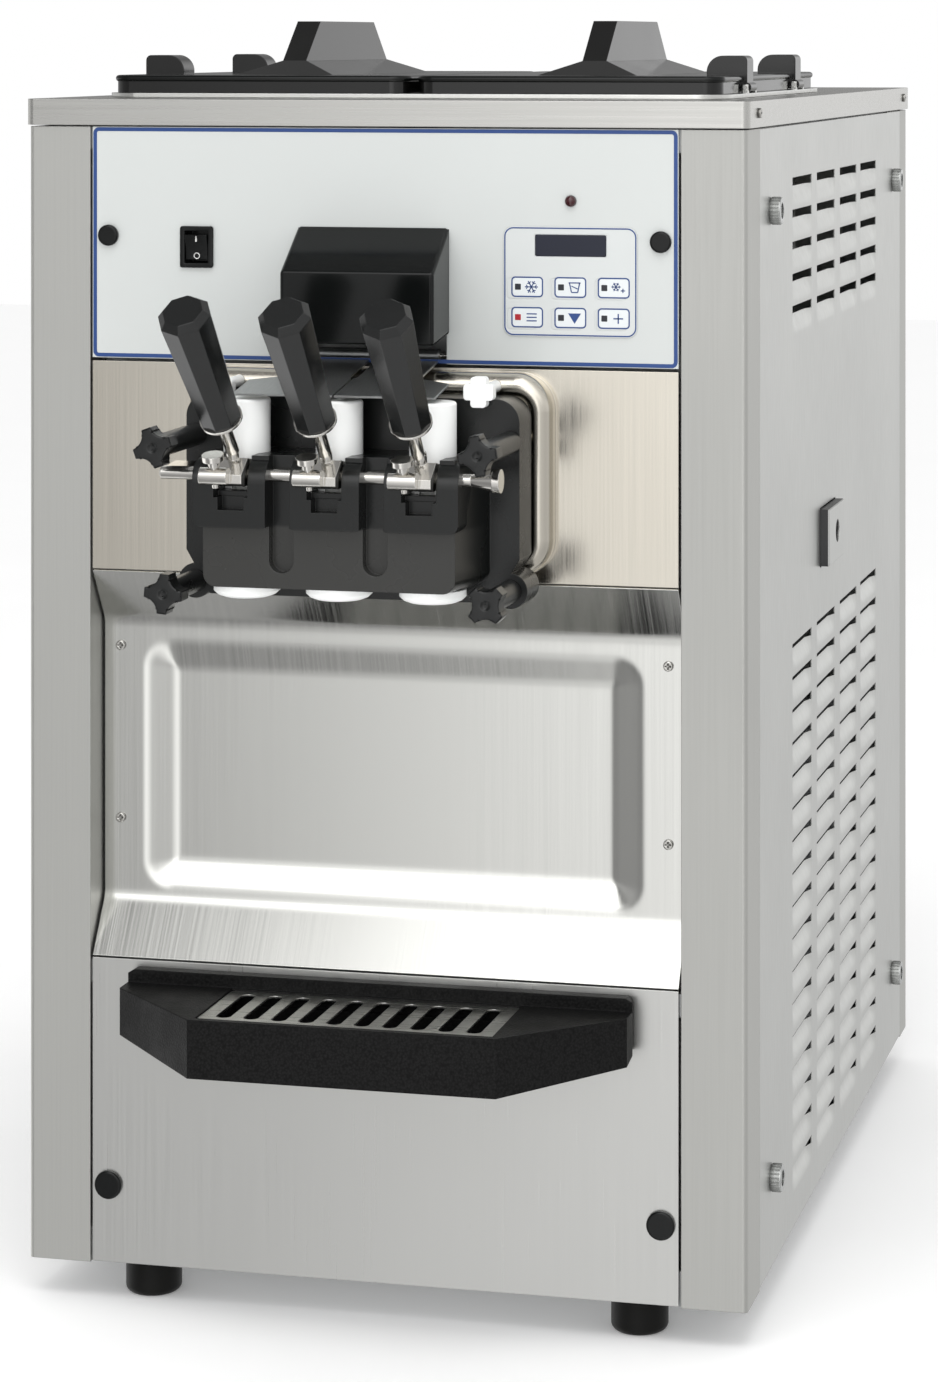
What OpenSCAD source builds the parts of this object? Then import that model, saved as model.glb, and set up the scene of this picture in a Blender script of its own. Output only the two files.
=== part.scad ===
// Countertop soft serve machine with two mix hoppers and three dispensing stations.
// Millimetres. X is the width, Y the depth (the front faces -Y) and Z is up.
// The origin is on the bench, under the middle of the whole outline, handles and cord included.
// Sub-parts are drawn in the cabinet's own frame: front panels at Y = 0, cabinet floor at Z = 0.
// row() carries them to the part's frame.

/* [Cabinet] */
// Cabinet width
cab_w = 520; // [440:1:620]
// Cabinet depth
cab_d = 760; // [700:1:860]
// Height of the posts, under the top cover
post_h = 806; // [780:1:830]
// Top of the folded cover
cover_top = 825.5; // [815:0.5:840]
// Sheet thickness
sheet = 1.5; // [1:0.1:3]
// Width of a front post
post_w = 46; // [40:1:50]
// Corner radius of the cabinet
corner_r = 3.5; // [2:0.5:8]
// Foot diameter
foot_d = 40; // [30:1:60]
// Foot height
foot_h = 27; // [20:1:60]

/* [Dispensing head] */
// Centre line of the head
head_x = -5; // [-20:1:20]
// Distance between dispensing stations
pitch = 65.5; // [60:0.5:80]
// Height of the pivot pin
pin_z = 575; // [570:0.5:580]
// Distance of the pivot pin in front of the cabinet
pin_out = 105; // [100:0.5:110]
// Pivot pin diameter
pin_d = 9; // [6:0.5:12]
// Valve plunger diameter
valve_d = 32; // [24:0.5:36]
// Valve lift
valve_lift = 12.5; // [8:0.5:16]
// Running clearance on a radius
run = 0.05; // [0.02:0.01:0.1]

/* [Freezing] */
// Bore of a freezing cylinder
cyl_bore = 92; // [80:1:100]
// Distance between the two cylinders
cyl_pitch = 114; // [112:1:130]
// Height of the cylinder centre line
cyl_z = 568; // [560:1:572]
// Rear end of a cylinder
cyl_back = 292; // [260:1:300]

/* [Lids and drawers] */
// Width of a hopper lid
lid_w = 222; // [200:1:226]
// Length of a hopper lid
lid_l = 391; // [360:1:400]
// Leak drawer length
drawer_l = 340; // [200:1:360]

/* [Hidden] */
$fn = 48;
tiny = 0.01;
gap = 0.5;
half_w = cab_w / 2;
reach = 75.7;
half_panel = half_w - post_w - 1.8;
valve_y = -81;
station_x = [head_x - pitch, head_x, head_x + pitch];
cyl_x = [head_x - cyl_pitch / 2, head_x + cyl_pitch / 2];
seat_y = -19.9;
flange_front = -53.5;
body_front = -107.6;
knuckle_front = -117;
stud_x = 112;
collar_d = 100;
feed_y = 150;
feed_d = 28;
stud_low = 494.5;
stud_high = 595.2;
knob_low = -121;
knob_high = -142;

// ---------- helpers ----------

// Cabinet frame to part frame, whose origin is under the middle of the outline, handles and cord included.
module row() {
    translate([0, reach - cab_d / 2, foot_h]) children();
}

// Box between two opposite corners.
module span(a, b) {
    translate(a) cube(b - a);
}

// Rounded rectangle about the origin, with true arcs.
module round_rect(w, h, r) {
    union() {
        square([w - 2 * r, h], center = true);
        square([w, h - 2 * r], center = true);
        for (sx = [-1, 1], sy = [-1, 1])
            translate([sx * (w / 2 - r), sy * (h / 2 - r)]) circle(r);
    }
}

// A flat outline in X and Z, given thickness from y0 back to y1.
module facing(y0, y1) {
    translate([0, y1, 0]) rotate([90, 0, 0]) linear_extrude(y1 - y0) children();
}

// An outline in Y and Z, given width from x0 to x1.
module profile(x0, x1) {
    translate([x0, 0, 0]) rotate([90, 0, 90]) linear_extrude(x1 - x0) children();
}

module rod_x(x0, x1, d) {
    translate([x0, 0, 0]) rotate([0, 90, 0]) cylinder(h = x1 - x0, d = d);
}

module rod_y(y0, y1, d) {
    translate([0, y1, 0]) rotate([90, 0, 0]) cylinder(h = y1 - y0, d = d);
}

// Left and right copies about the cabinet centre plane.
module both_sides() {
    children();
    mirror([1, 0, 0]) children();
}

// ---------- cabinet ----------

module post_outline() {
    skin = 2;
    ret = post_w + 1;
    landing = 110;
    intersection() {
        union() {
            translate([half_w - post_w, 0]) square([post_w, skin]);
            translate([half_w - skin, 0]) square([skin, ret]);
            translate([half_w - post_w, 0]) square([skin, 33]);
            translate([half_w - sheet - skin - 0.1, ret - skin]) square([skin + 1, skin]);
            translate([half_w - sheet - skin - 0.1, ret - skin]) square([skin, landing - ret]);
        }
        translate([0, cab_d / 2]) round_rect(cab_w, cab_d, corner_r);
    }
}

module rear_post_outline() {
    skin = 2;
    wide = 38;
    from = cab_d - wide;
    intersection() {
        union() {
            translate([half_w - wide, cab_d - skin]) square([wide, skin]);
            translate([half_w - skin, from]) square([skin, wide]);
            translate([half_w - sheet - skin - 0.1, from]) square([skin + 1, skin]);
            translate([half_w - sheet - skin - 0.1, from - 66]) square([skin, 68]);
        }
        translate([0, cab_d / 2]) round_rect(cab_w, cab_d, corner_r);
    }
}

// Pan that the compressor stands on, with its turned-up rim.
pan_rim = 24;

module base_pan() {
    inset = 3.7;
    wall = 2;
    difference() {
        span([-half_w + inset, inset, 0], [half_w - inset, cab_d - inset, pan_rim]);
        span([-half_w + inset + wall, inset + wall, wall],
            [half_w - inset - wall, cab_d - inset - wall, pan_rim + 1]);
        for (x = [-178, 178], y = [33, cab_d - 33])
            translate([x, y, -1]) cylinder(h = pan_rim, d = 8.2);
        for (x = [-60, 60], y = [-50, 50])
            translate([-60 + x, 600 + y, -1]) cylinder(h = pan_rim, d = 8.2);
    }
}

module angle_rail(x0, x1, y, z) {
    leg = 16;
    wall = 2;
    span([x0, y, z - leg], [x1, y + wall, z]);
    span([x0, y, z - wall], [x1, y + leg, z]);
}

// Plate that holds the gear motors, level with the ends of the beater shafts.
module motor_bulkhead() {
    y = 386;
    difference() {
        span([-half_w + 4, y, 455], [half_w - 4, y + 3, 640]);
        for (x = cyl_x) translate([x, 0, cyl_z]) rod_y(y - 1, y + 4, 46);
    }
    both_sides() span([half_w - 24, y - 10, 455], [half_w - 3.7, y, 640]);
    both_sides() span([half_w - 8, 34, 600], [half_w - 3.7, cab_d - 39, 615]);
}

// Inner uprights behind the posts, and the gussets that tie the front rails to them.
upright_y = 33.2;

module uprights() {
    both_sides() {
        span([half_w - 60, upright_y, 1], [half_w - 3.7, upright_y + 2, post_h - 1]);
        span([half_w - 50, cab_d - 41, 1], [half_w - 3.7, cab_d - 39, post_h - 1]);
        for (z = [212, post_h - 2]) span([half_w - post_w - 16, 4, z],
            [half_w - post_w - 0.1, upright_y + 1, z + 2]);
    }
}

// Cross rail behind the control panel, with the two lugs that hold the flap rod.
module flap_bracket() {
    rail_y = upright_y - 2;
    difference() {
        union() {
            span([-half_w + post_w, rail_y, 632], [half_w - post_w, rail_y + 2, 662]);
            for (s = [-1, 1]) translate([head_x + s * 54, 0, 0])
                span([-1.5, 3.2, 642.5], [1.5, rail_y + 1, 655]);
        }
        translate([head_x, flap_y, flap_z]) rod_x(-60, 60, rod_d + 2 * run);
    }
}

// Four folded posts, notched at the bottom to stand round the base pan.
module corner_posts() {
    color([0.68, 0.68, 0.67]) difference() {
        union() {
            both_sides() linear_extrude(post_h) post_outline();
            both_sides() linear_extrude(post_h) rear_post_outline();
        }
        span([-half_w + 3.65, 3.65, -1], [half_w - 3.65, cab_d - 3.65, pan_rim + 0.05]);
        both_sides() for (p = thumb_yz) translate([0, p[0], p[1]])
            rod_x(half_w - 6, half_w - 1, 6.2);
    }
}

module cabinet_frame() {
    color([0.66, 0.66, 0.65]) union() {
        base_pan();
        uprights();
        angle_rail(-half_w + post_w, half_w - post_w, 3.1, post_h);
        angle_rail(-half_w + 3.7, half_w - 3.7, cab_d - 18.1, post_h);
        angle_rail(-half_w + post_w, half_w - post_w, 3.1, 218 - 4);
        both_sides() span([half_w - 20, 33, post_h - 2], [half_w - 3.7, cab_d - 17, post_h]);
        motor_bulkhead();
        flap_bracket();
    }
}

vent_y = [179, 286, 395, 499];
vent_len = 84;
vent_pitch_z = 23.4;
thumb_yz = [[92, 747], [680, 747], [677, 67], [94, 65]];

// Rows of slots drawn in Y and Z: plain ones above, louvre openings below.
module vent_outline() {
    for (y = vent_y) {
        for (i = [0:4]) translate([y, 666.9 + i * vent_pitch_z]) square([vent_len, 6.6]);
        for (i = [0:16]) translate([y, 40.3 + i * 23.8]) square([vent_len, 6.2]);
    }
}

module drawer_cut() {
    clear = 0.6;
    translate([301 - clear, 467 - clear]) square([72 + 2 * clear, 44 + 2 * clear]);
}

module side_sheet() {
    z0 = 2;
    z1 = post_h - 0.5;
    y0 = post_w + 1.5;
    y1 = cab_d - 38.5;
    difference() {
        profile(half_w - sheet, half_w) difference() {
            translate([y0, z0]) square([y1 - y0, z1 - z0]);
            vent_outline();
            children();
        }
        for (p = thumb_yz) translate([0, p[0], p[1]]) rod_x(half_w - 3, half_w + 1, 6.4);
    }
}

module side_panel_right() {
    color([0.72, 0.73, 0.72]) side_sheet() drawer_cut();
}

module side_panel_left() {
    color([0.72, 0.73, 0.72]) mirror([1, 0, 0]) side_sheet() square(tiny);
}

module rear_panel() {
    y1 = cab_d;
    half = half_w - 38.5;
    color([0.72, 0.73, 0.72]) facing(y1 - sheet, y1) difference() {
        translate([-half, 2]) square([2 * half, post_h - 2.5]);
        for (i = [0:11], x = [-150, 10]) translate([x, 90 + i * 30]) square([140, 8]);
        for (i = [0:3], x = [-150, 10]) translate([x, 640 + i * 24]) square([140, 6]);
        translate([-180, 60]) circle(d = 22);
    }
}

hopper_y0 = 86;
hopper_y1 = 464;

module top_cover() {
    over = 2;
    lip = 18.5;
    wall = 1.5;
    color([0.7, 0.71, 0.7]) difference() {
        translate([0, cab_d / 2, cover_top - lip]) linear_extrude(lip)
            round_rect(cab_w + 2 * over, cab_d + 2 * over, corner_r + over);
        translate([0, cab_d / 2, cover_top - lip - 1]) linear_extrude(lip + 1 - wall)
            round_rect(cab_w + 2 * (over - wall), cab_d + 2 * (over - wall), corner_r + 0.5);
        translate([0, (hopper_y0 + hopper_y1) / 2, cover_top - lip]) linear_extrude(lip + 1)
            round_rect(448, hopper_y1 - hopper_y0 + 14, 20);
        for (sx = [-1, 1], y = [32, cab_d - 32])
            translate([sx * half_w, y, 817]) rod_x(-4, 4, 4.2);
    }
}

// ---------- front panels ----------

switch_c = [-134.2, 721.5];
lamp_c = [136.5, 756.4];
keypad_c = [136.2, 700.8];

module control_panel() {
    low = 642.3;
    high = post_h;
    notch_l = head_x - 53;
    notch_w = 106;
    color([0.86, 0.88, 0.86]) facing(0, 3) difference() {
        translate([-half_panel, low]) square([2 * half_panel, high - low]);
        translate([notch_l, low - 1]) square([notch_w, 21]);
        translate(switch_c) square([21.8, 27], center = true);
        translate(lamp_c) circle(d = 8);
        for (sx = [-1, 1]) translate([sx * 200, 729]) circle(d = 9);
    }
}

// Half-round raised rib with a straight foot, drawn out from the panel plane.
ring_half_w = 131;
ring_low = 498;
ring_high = 638;
ring_section = 19;
ring_proud = 17.5;

module ring_section_outline() {
    r = ring_section / 2;
    translate([-r, 0]) square([ring_section, ring_proud - r]);
    intersection() {
        translate([0, ring_proud - r]) circle(r);
        translate([-r, ring_proud - r - tiny]) square([ring_section, r + 1]);
    }
}

module door_ring() {
    bend = 16;
    half_x = ring_half_w - ring_section / 2;
    half_z = (ring_high - ring_low) / 2 - ring_section / 2;
    translate([head_x, 0, (ring_high + ring_low) / 2]) rotate([90, 0, 0]) {
        for (s = [-1, 1]) {
            translate([-(half_x - bend), s * half_z, 0]) rotate([90, 0, 90])
                linear_extrude(2 * (half_x - bend)) ring_section_outline();
            translate([s * half_x, half_z - bend, 0]) rotate([90, 0, 0])
                linear_extrude(2 * (half_z - bend)) ring_section_outline();
        }
        for (sx = [0, 1], sz = [0, 1]) mirror([sx, 0, 0]) mirror([0, sz, 0])
            translate([half_x - bend, half_z - bend, 0])
                rotate_extrude(angle = 90) translate([bend, 0]) ring_section_outline();
    }
}

module dispenser_plate() {
    low = 492.4;
    high = 640;
    in_half = ring_half_w - ring_section + 1;
    seat_low = ring_low + ring_section - 1;
    seat_high = ring_high - ring_section + 1;
    color([0.72, 0.7, 0.66]) difference() {
        union() {
            facing(0, sheet) translate([-half_panel, low]) square([2 * half_panel, high - low]);
            door_ring();
            facing(-12, 0) translate([head_x - in_half, seat_low])
                square([2 * in_half, seat_high - seat_low]);
            for (sx = [-1, 1], z = [stud_low, stud_high])
                translate([head_x + sx * stud_x, 0, z])
                    rod_y((z == stud_low ? knob_low : knob_high) + 9, -1, 8);
        }
        for (x = cyl_x) translate([x, 0, cyl_z]) rod_y(-20, sheet + 1, collar_d + 0.2);
        for (sx = [-1, 1]) translate([head_x + sx * plug_x, 0, plug_z + 1])
            rod_y(-30, sheet + 1, plug_stem + 2 * run);
    }
}

// The recess behind the cup space: slanted top and bottom, and a flat back with a pressed field.
recess_y = 25;
recess_top = 453;
recess_bottom = 256;

module splash_fold() {
    n = 1.5;
    polygon([[0, 491], [recess_y, recess_top], [recess_y, recess_bottom], [0, 218], [n, 216.8],
        [recess_y + n, recess_bottom - 0.6], [recess_y + n, recess_top + 0.6], [n, 492.2]]);
}

// Frustum with flat slanted sides, opening towards the front.
module field_frustum(grow, depth, front) {
    out_x = 179 + grow;
    in_x = 159.5 + grow;
    z_low = 264 - grow;
    z_high = 437 + grow;
    slope = 18.5;
    intersection() {
        translate([0, 0, z_low - 1]) linear_extrude(z_high - z_low + 2) polygon([
            [-out_x, front], [out_x, front], [in_x, front + depth], [-in_x, front + depth]]);
        profile(-out_x - 1, out_x + 1) polygon([[front, z_low], [front, z_high],
            [front + depth, z_high - slope], [front + depth, z_low + slope]]);
        facing(front - 1, front + depth + 1) translate([0, (z_low + z_high) / 2])
            round_rect(2 * out_x, z_high - z_low, 15);
    }
}

module splash_panel() {
    press = 7;
    color([0.7, 0.71, 0.71]) difference() {
        union() {
            profile(-half_panel, half_panel) splash_fold();
            field_frustum(sheet, press + sheet - 0.5, recess_y + 0.5);
        }
        field_frustum(0, press, recess_y - tiny);
        for (sx = [-1, 1], z = [434.5, 311.3]) translate([sx * 200, 0, z]) rod_y(20, 30, 4.2);
    }
}

module lower_front_panel() {
    high = 215.5;
    color([0.7, 0.71, 0.71]) facing(0, sheet) difference() {
        translate([-half_panel, 1]) square([2 * half_panel, high]);
        for (sx = [-1, 1]) translate([sx * 200, 56]) circle(d = 12);
        for (sx = [-1, 1]) translate([sx * 120, 186]) square([31, 7], center = true);
    }
}

// ---------- drip tray ----------

tray_high = 203;
tray_low = 165;
grid_half = 104;
grid_front = -91;
grid_back = -12;

module tray_outline(grow) {
    side = 182 + grow;
    tip = 108 + grow * 0.6;
    far = -97 - grow;
    polygon([[-178 - grow, -0.4], [-side, -9], [-side, -27], [-tip, far], [tip, far], [side, -27],
        [side, -9], [178 + grow, -0.4]]);
}

// The underside climbs from the front lip towards the panel; a low fence stands along the back.
module tray_wedge() {
    profile(-200, 200) polygon([[1, tray_high + 9], [1, 175], [-27, 170], [-97, tray_low - 2],
        [-120, tray_low - 2], [-120, tray_high], [-10, tray_high], [-10, tray_high + 9]]);
}

// Moulded deck with a well for the grid, hollow ends and two tongues that hook into the panel.
module drip_tray() {
    wall = 3;
    tongue_low = 184;
    well = 100;
    color([0.06, 0.06, 0.065]) difference() {
        union() {
            intersection() {
                translate([0, 0, tray_low - 2]) linear_extrude(60) tray_outline(0);
                tray_wedge();
            }
            for (sx = [-1, 1])
                span([sx * 120 - 15, -4, tongue_low], [sx * 120 + 15, 34, tongue_low + 4]);
        }
        span([-grid_half - 0.4, grid_front - 0.4, tray_high - 10],
            [grid_half + 0.4, grid_back + 0.4, tray_high + 5]);
        profile(-well, well) polygon([[grid_front + 4, tray_high - 9], [grid_front + 4, 171],
            [grid_back - 4, 183], [grid_back - 4, tray_high - 9]]);
        for (sx = [-1, 1]) intersection() {
            translate([0, 0, tray_low - 5]) linear_extrude(tray_high - wall - tray_low + 5)
                tray_outline(-wall);
            translate([sx * 146.7, -62, tray_low + 15]) cube([78, 108, 60], center = true);
        }
        for (sx = [-1, 1]) translate([sx * 191, 0, tray_high + 13]) rotate([0, sx * 28, 0])
            cube([30, 40, 20], center = true);
    }
}

module drip_grid() {
    half = grid_half;
    front = grid_front;
    back = grid_back;
    top = tray_high - 1;
    slots = 10;
    slot_w = 10.5;
    slot_pitch = 19.6;
    color([0.75, 0.75, 0.73]) difference() {
        union() {
            translate([0, (front + back) / 2, top - 1.5]) linear_extrude(1.5)
                round_rect(2 * half, back - front, 4);
            for (sx = [-1, 1]) translate([sx * (half - 1), 0, 0])
                span([-0.75, front + 6, top - 9], [0.75, back - 6, top - 1]);
        }
        for (i = [0:slots - 1]) translate([(i - (slots - 1) / 2) * slot_pitch, -51.5, top - 3])
            linear_extrude(5) round_rect(slot_w, 63, slot_w / 2 - tiny);
    }
}

// ---------- feet, plugs and screws ----------

module foot() {
    r = foot_d / 2;
    edge = 5;
    rotate_extrude() union() {
        translate([0, -foot_h]) square([r - edge, foot_h]);
        translate([0, -foot_h + edge]) square([r, foot_h - edge]);
        translate([r - edge, -foot_h + edge]) circle(edge);
    }
    cylinder(h = 14, d = 8);
}

module feet() {
    color([0.05, 0.05, 0.05]) for (x = [-178, 178], y = [33, cab_d - 33])
        translate([x, y, 0]) foot();
}

// A domed push-in plug facing the front.
module plug(d, stem_d) {
    head = 3.5;
    rotate([90, 0, 0]) rotate_extrude() union() {
        square([d / 2 - 1.5, head]);
        square([d / 2, head - 1.5]);
        translate([d / 2 - 1.5, head - 1.5]) circle(1.5);
        translate([0, -2.9]) square([stem_d / 2, 3]);
    }
}

module panel_plugs() {
    color([0.04, 0.04, 0.045]) {
        for (sx = [-1, 1]) translate([sx * 200, 0, 729]) plug(15, 8.9);
        for (sx = [-1, 1]) translate([sx * 200, 0, 56]) plug(20, 11.9);
    }
}

// Pan-head screw along +Z with a cross recess.
module cross_screw(head_d, head_h, shank_d, shank_l) {
    difference() {
        union() {
            rotate_extrude() union() {
                square([head_d / 2 - 0.8, head_h]);
                square([head_d / 2, head_h - 0.8]);
                translate([head_d / 2 - 0.8, head_h - 0.8]) circle(0.8);
            }
            translate([0, 0, -shank_l]) cylinder(h = shank_l + tiny, d = shank_d);
        }
        for (a = [0, 90]) rotate([0, 0, a]) translate([0, 0, head_h])
            cube([head_d * 0.6, head_d * 0.14, 1.6], center = true);
    }
}

module panel_screws() {
    color([0.75, 0.75, 0.73]) {
        for (sx = [-1, 1], z = [434.5, 311.3]) translate([sx * 200, recess_y, z])
            rotate([90, 0, 0]) cross_screw(7, 2.2, 4, 4);
        for (sx = [0, 1], y = [32, cab_d - 32]) mirror([sx, 0, 0])
            translate([half_w + 2, y, 817]) rotate([0, 90, 0]) cross_screw(7, 2.2, 4, 3);
    }
}

module thumb_screw() {
    ribs = 24;
    difference() {
        union() {
            cross_screw(19, 8, 6, 5);
            for (i = [0:ribs - 1]) rotate([0, 0, i * 360 / ribs]) translate([9.3, 0, 0.8])
                cylinder(h = 6, d = 1.2, $fn = 4);
        }
        translate([0, 0, 7]) cylinder(h = 2, d = 11);
    }
}

module thumb_screws() {
    color([0.62, 0.62, 0.6]) both_sides() for (p = thumb_yz) translate([half_w, p[0], p[1]])
        rotate([0, 90, 0]) thumb_screw();
}

// ---------- switch, keypad and controller ----------

module switch_bezel() {
    color([0.03, 0.03, 0.03]) translate([switch_c[0], 0, switch_c[1]]) difference() {
        union() {
            facing(-2.2, 0) round_rect(24.5, 29.3, 2);
            facing(0, 18) square([21.6, 26.8], center = true);
        }
        facing(-3, 14) square([17.2, 22.6], center = true);
        translate([0, 5, 0]) rod_x(-10.4, 10.4, 3.1);
    }
}

module switch_rocker() {
    dip = 6;
    half = 9.3;
    width = 16.4;
    color([0.04, 0.04, 0.04]) translate([switch_c[0], 0, switch_c[1]]) difference() {
        union() {
            profile(-width / 2, width / 2) polygon([[5, -half + 1.6], [-0.9, -half + 0.2],
                [-1.6, 0], [-4, half - 0.6], [5, half - 1.6]]);
            translate([0, 5, 0]) rod_x(-10.3, 10.3, 3);
        }
        translate([0, -3.2, dip]) facing(-2, 1.2) square([1.4, 4.2], center = true);
        translate([0, -1.2, -dip]) facing(-2, 0.8) difference() {
            circle(2.4);
            circle(1.6);
        }
    }
}

key_cols = [101.5, 133, 164.5];
key_rows = [695.5, 674.5];

module keypad_overlay() {
    color([0.78, 0.84, 0.88]) difference() {
        translate([keypad_c[0], 0, keypad_c[1]]) facing(-0.8, -0.05) round_rect(94.7, 75.8, 7);
        translate([136.5, 0, 725.7]) facing(-1, -0.5) square([51, 15.5], center = true);
        for (x = key_cols, z = key_rows) translate([x, 0, z]) facing(-1, -0.6) difference() {
            round_rect(22, 15.5, 3);
            round_rect(19.6, 13.1, 2.2);
        }
    }
}

module controller() {
    color([0.12, 0.13, 0.13]) {
        difference() {
            span([76, 26, 668], [197, 74, 782]);
            span([78, 28, 670], [195, 72, 780]);
            translate([lamp_c[0], 0, lamp_c[1]]) rod_y(20, 30, 7.9);
        }
        translate([lamp_c[0], 0, lamp_c[1]]) rod_y(-1.5, 34, 7.8);
        span([80, 32, 674], [193, 34, 776]);
    }
}

module switch_hood() {
    half = 55;
    front = -42;
    wall = 2.5;
    color([0.03, 0.03, 0.032]) translate([head_x, 0, 0]) difference() {
        union() {
            profile(-half, half) polygon([[-0.1, 664], [-0.1, 737.5], [front, 708], [front, 658.5]]);
        }
        profile(-half + wall, half - wall) polygon([[1, 640], [1, 734.6],
            [front + wall, 706], [front + wall, 640]]);
    }
}

// ---------- draw-switch flaps ----------

flap_y = 6;
flap_z = 648;
flap_rise = 9.5;
rod_d = 4;

// Hinge rod of the flaps, with the tongue that works the start switch.
module flap_rod() {
    color([0.55, 0.56, 0.55]) translate([head_x, flap_y, flap_z]) union() {
        rod_x(-57, 57, rod_d);
        rotate([-flap_rise, 0, 0]) {
            span([-2.2, 1, -1], [2.2, 18, 1]);
            span([-5, 16, -1], [5, 18, 7]);
        }
    }
}

// One flap: a wide pad at the front, a neck through the panel's notch and a rolled eye.
module flap(side) {
    thick = 1.5;
    under = 3.8;
    pad_front = -104.6;
    pad_back = -55;
    wide = 71;
    neck = 47;
    neck_in = 3;
    translate([head_x, flap_y, flap_z]) mirror([side > 0 ? 0 : 1, 0, 0]) difference() {
        union() {
            rotate([flap_rise, 0, 0]) translate([0, 0, -under])
                linear_extrude(thick) polygon([[0.6, pad_front], [wide, pad_front],
                    [wide, pad_back - 12], [neck, pad_back], [neck, 0], [neck_in, 0],
                    [neck_in, pad_back], [0.6, pad_back - 4]]);
            rod_x(neck_in + 0.5, neck - 0.5, 8.4);
        }
        rod_x(-60, 60, rod_d + 2 * run);
    }
}

module flap_left() {
    color([0.5, 0.52, 0.52]) flap(-1);
}

module flap_right() {
    color([0.5, 0.52, 0.52]) flap(1);
}

// ---------- dispensing head ----------

knuckle_w = 54;

module knuckle() {
    ear_r = 17;
    low = 540;
    slot = 24;
    high = pin_z - 5 + ear_r;
    difference() {
        intersection() {
            profile(-knuckle_w / 2, knuckle_w / 2) union() {
                translate([knuckle_front, low]) square([20, pin_z - 5 - low]);
                translate([knuckle_front + ear_r, pin_z - 5]) circle(ear_r);
                translate([knuckle_front + ear_r, low]) square([7, high - low]);
            }
            facing(knuckle_front - 1, -70) translate([0, (low + high) / 2])
                round_rect(knuckle_w, high - low, 6);
        }
        span([-slot / 2, knuckle_front - 5, 560.5], [slot / 2, -107, 600]);
        span([-slot / 2, knuckle_front - 5, 564], [slot / 2, -88, 600]);
        span([-9, knuckle_front - 5, 552], [9, -92, 565]);
    }
}

// Back flange of the door: rounded above, slanted at its lower corners.
module door_flange_outline() {
    half = 118.5;
    low = 486;
    high = 624;
    r = 16;
    union() {
        translate([0, (low + high) / 2]) round_rect(2 * (half - r), high - low, 2);
        polygon([[-half, 516], [-half + 13, low + 8], [half - 13, low + 8], [half, 516],
            [half, high - r], [-half, high - r]]);
        for (sx = [-1, 1]) translate([sx * (half - r), high - r]) circle(r);
    }
}

module door_body() {
    low = 499;
    deck = 588;
    front_half = 88;
    back_half = 98;
    corner = 9;
    taper = atan((back_half - front_half) / (flange_front - body_front));
    color([0.035, 0.035, 0.038]) difference() {
        union() {
            translate([head_x, 0, 0]) {
                facing(flange_front, seat_y) door_flange_outline();
                for (sx = [-1, 1]) translate([sx * stud_x, 0, stud_low])
                    rod_y(flange_front, seat_y, 24);
                intersection() {
                    translate([0, 0, low]) linear_extrude(deck - low) polygon([
                        [-front_half, body_front], [front_half, body_front],
                        [back_half, flange_front + 1], [-back_half, flange_front + 1]]);
                    facing(body_front - 1, flange_front + 1)
                        translate([0, (low + deck) / 2]) round_rect(2 * back_half, deck - low, 12);
                }
            }
            for (x = station_x) translate([x, 0, 0]) knuckle();
            for (x = station_x) translate([x, valve_y, 495]) cylinder(h = 7, d = 40);
        }
        for (sx = [-1, 1]) translate([head_x + sx * front_half, body_front, low])
            mirror([sx > 0 ? 0 : 1, 0, 0]) rotate([0, 0, -taper])
                facing(-4, 52) difference() {
                    translate([-corner, -1]) square(corner + 2);
                    translate([-corner, corner]) circle(corner);
                }
        for (sx = [-1, 1]) translate([head_x + sx * pitch / 2, body_front + 2, 0]) {
            translate([0, 0, 518]) rod_y(-20, 6, 17);
            span([-8.5, -20, 518], [8.5, 6, 600]);
        }
        translate([0, -pin_out, pin_z]) rod_x(-140, 140, pin_d);
        for (x = station_x) translate([x, valve_y, 480]) cylinder(h = 130, d = valve_d + 2 * run);
        for (x = station_x) translate([x, 0, 0]) {
            span([-12, -120, 560.5], [12, -107, 600]);
            span([-12, -120, 564], [12, -88, 600]);
            span([-6.3, -100, 553], [6.3, -70, 600]);
        }
        for (i = [0, 1]) translate([cyl_x[i], 0, cyl_z - 22]) rod_y(valve_y + 12, seat_y + 1, 20);
        for (s = [-1, 1]) translate([head_x + s * stud_x, 0, 0]) for (z = [stud_low, stud_high])
            translate([0, 0, z]) rod_y(-60, 0, 9);
        for (x = cyl_x) translate([x, 0, cyl_z]) rod_y(-26, 0, cyl_bore);
    }
}

module door_gaskets() {
    color([0.85, 0.85, 0.82]) for (x = cyl_x) translate([x, seat_y, cyl_z]) rotate([90, 0, 0])
        rotate_extrude() translate([46.6, -1.95]) square([2.4, 1.94]);
}

// Cross-shaped hand knob on a stud: four lobes with hollows between, a shank and a blind bore.
module door_knob(x, z, front, turn) {
    tip = 13.6;
    lobe_w = 7.4;
    hollow_at = 19.6;
    hollow_r = 10.4;
    head = 15;
    color([0.04, 0.04, 0.045]) translate([x, 0, z]) difference() {
        union() {
            facing(front, front + head) rotate(turn) difference() {
                union() {
                    square([2 * tip, lobe_w], center = true);
                    square([lobe_w, 2 * tip], center = true);
                    circle(11.4);
                }
                for (a = [45:90:315]) rotate(a) translate([hollow_at, 0]) circle(hollow_r);
            }
            rod_y(front + head - 1, flange_front - 0.1, 15.5);
        }
        rod_y(front + 7, flange_front + 1, 8 + 2 * run);
        rod_y(front - 1, front + 1.5, 5.5);
    }
}

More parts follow.
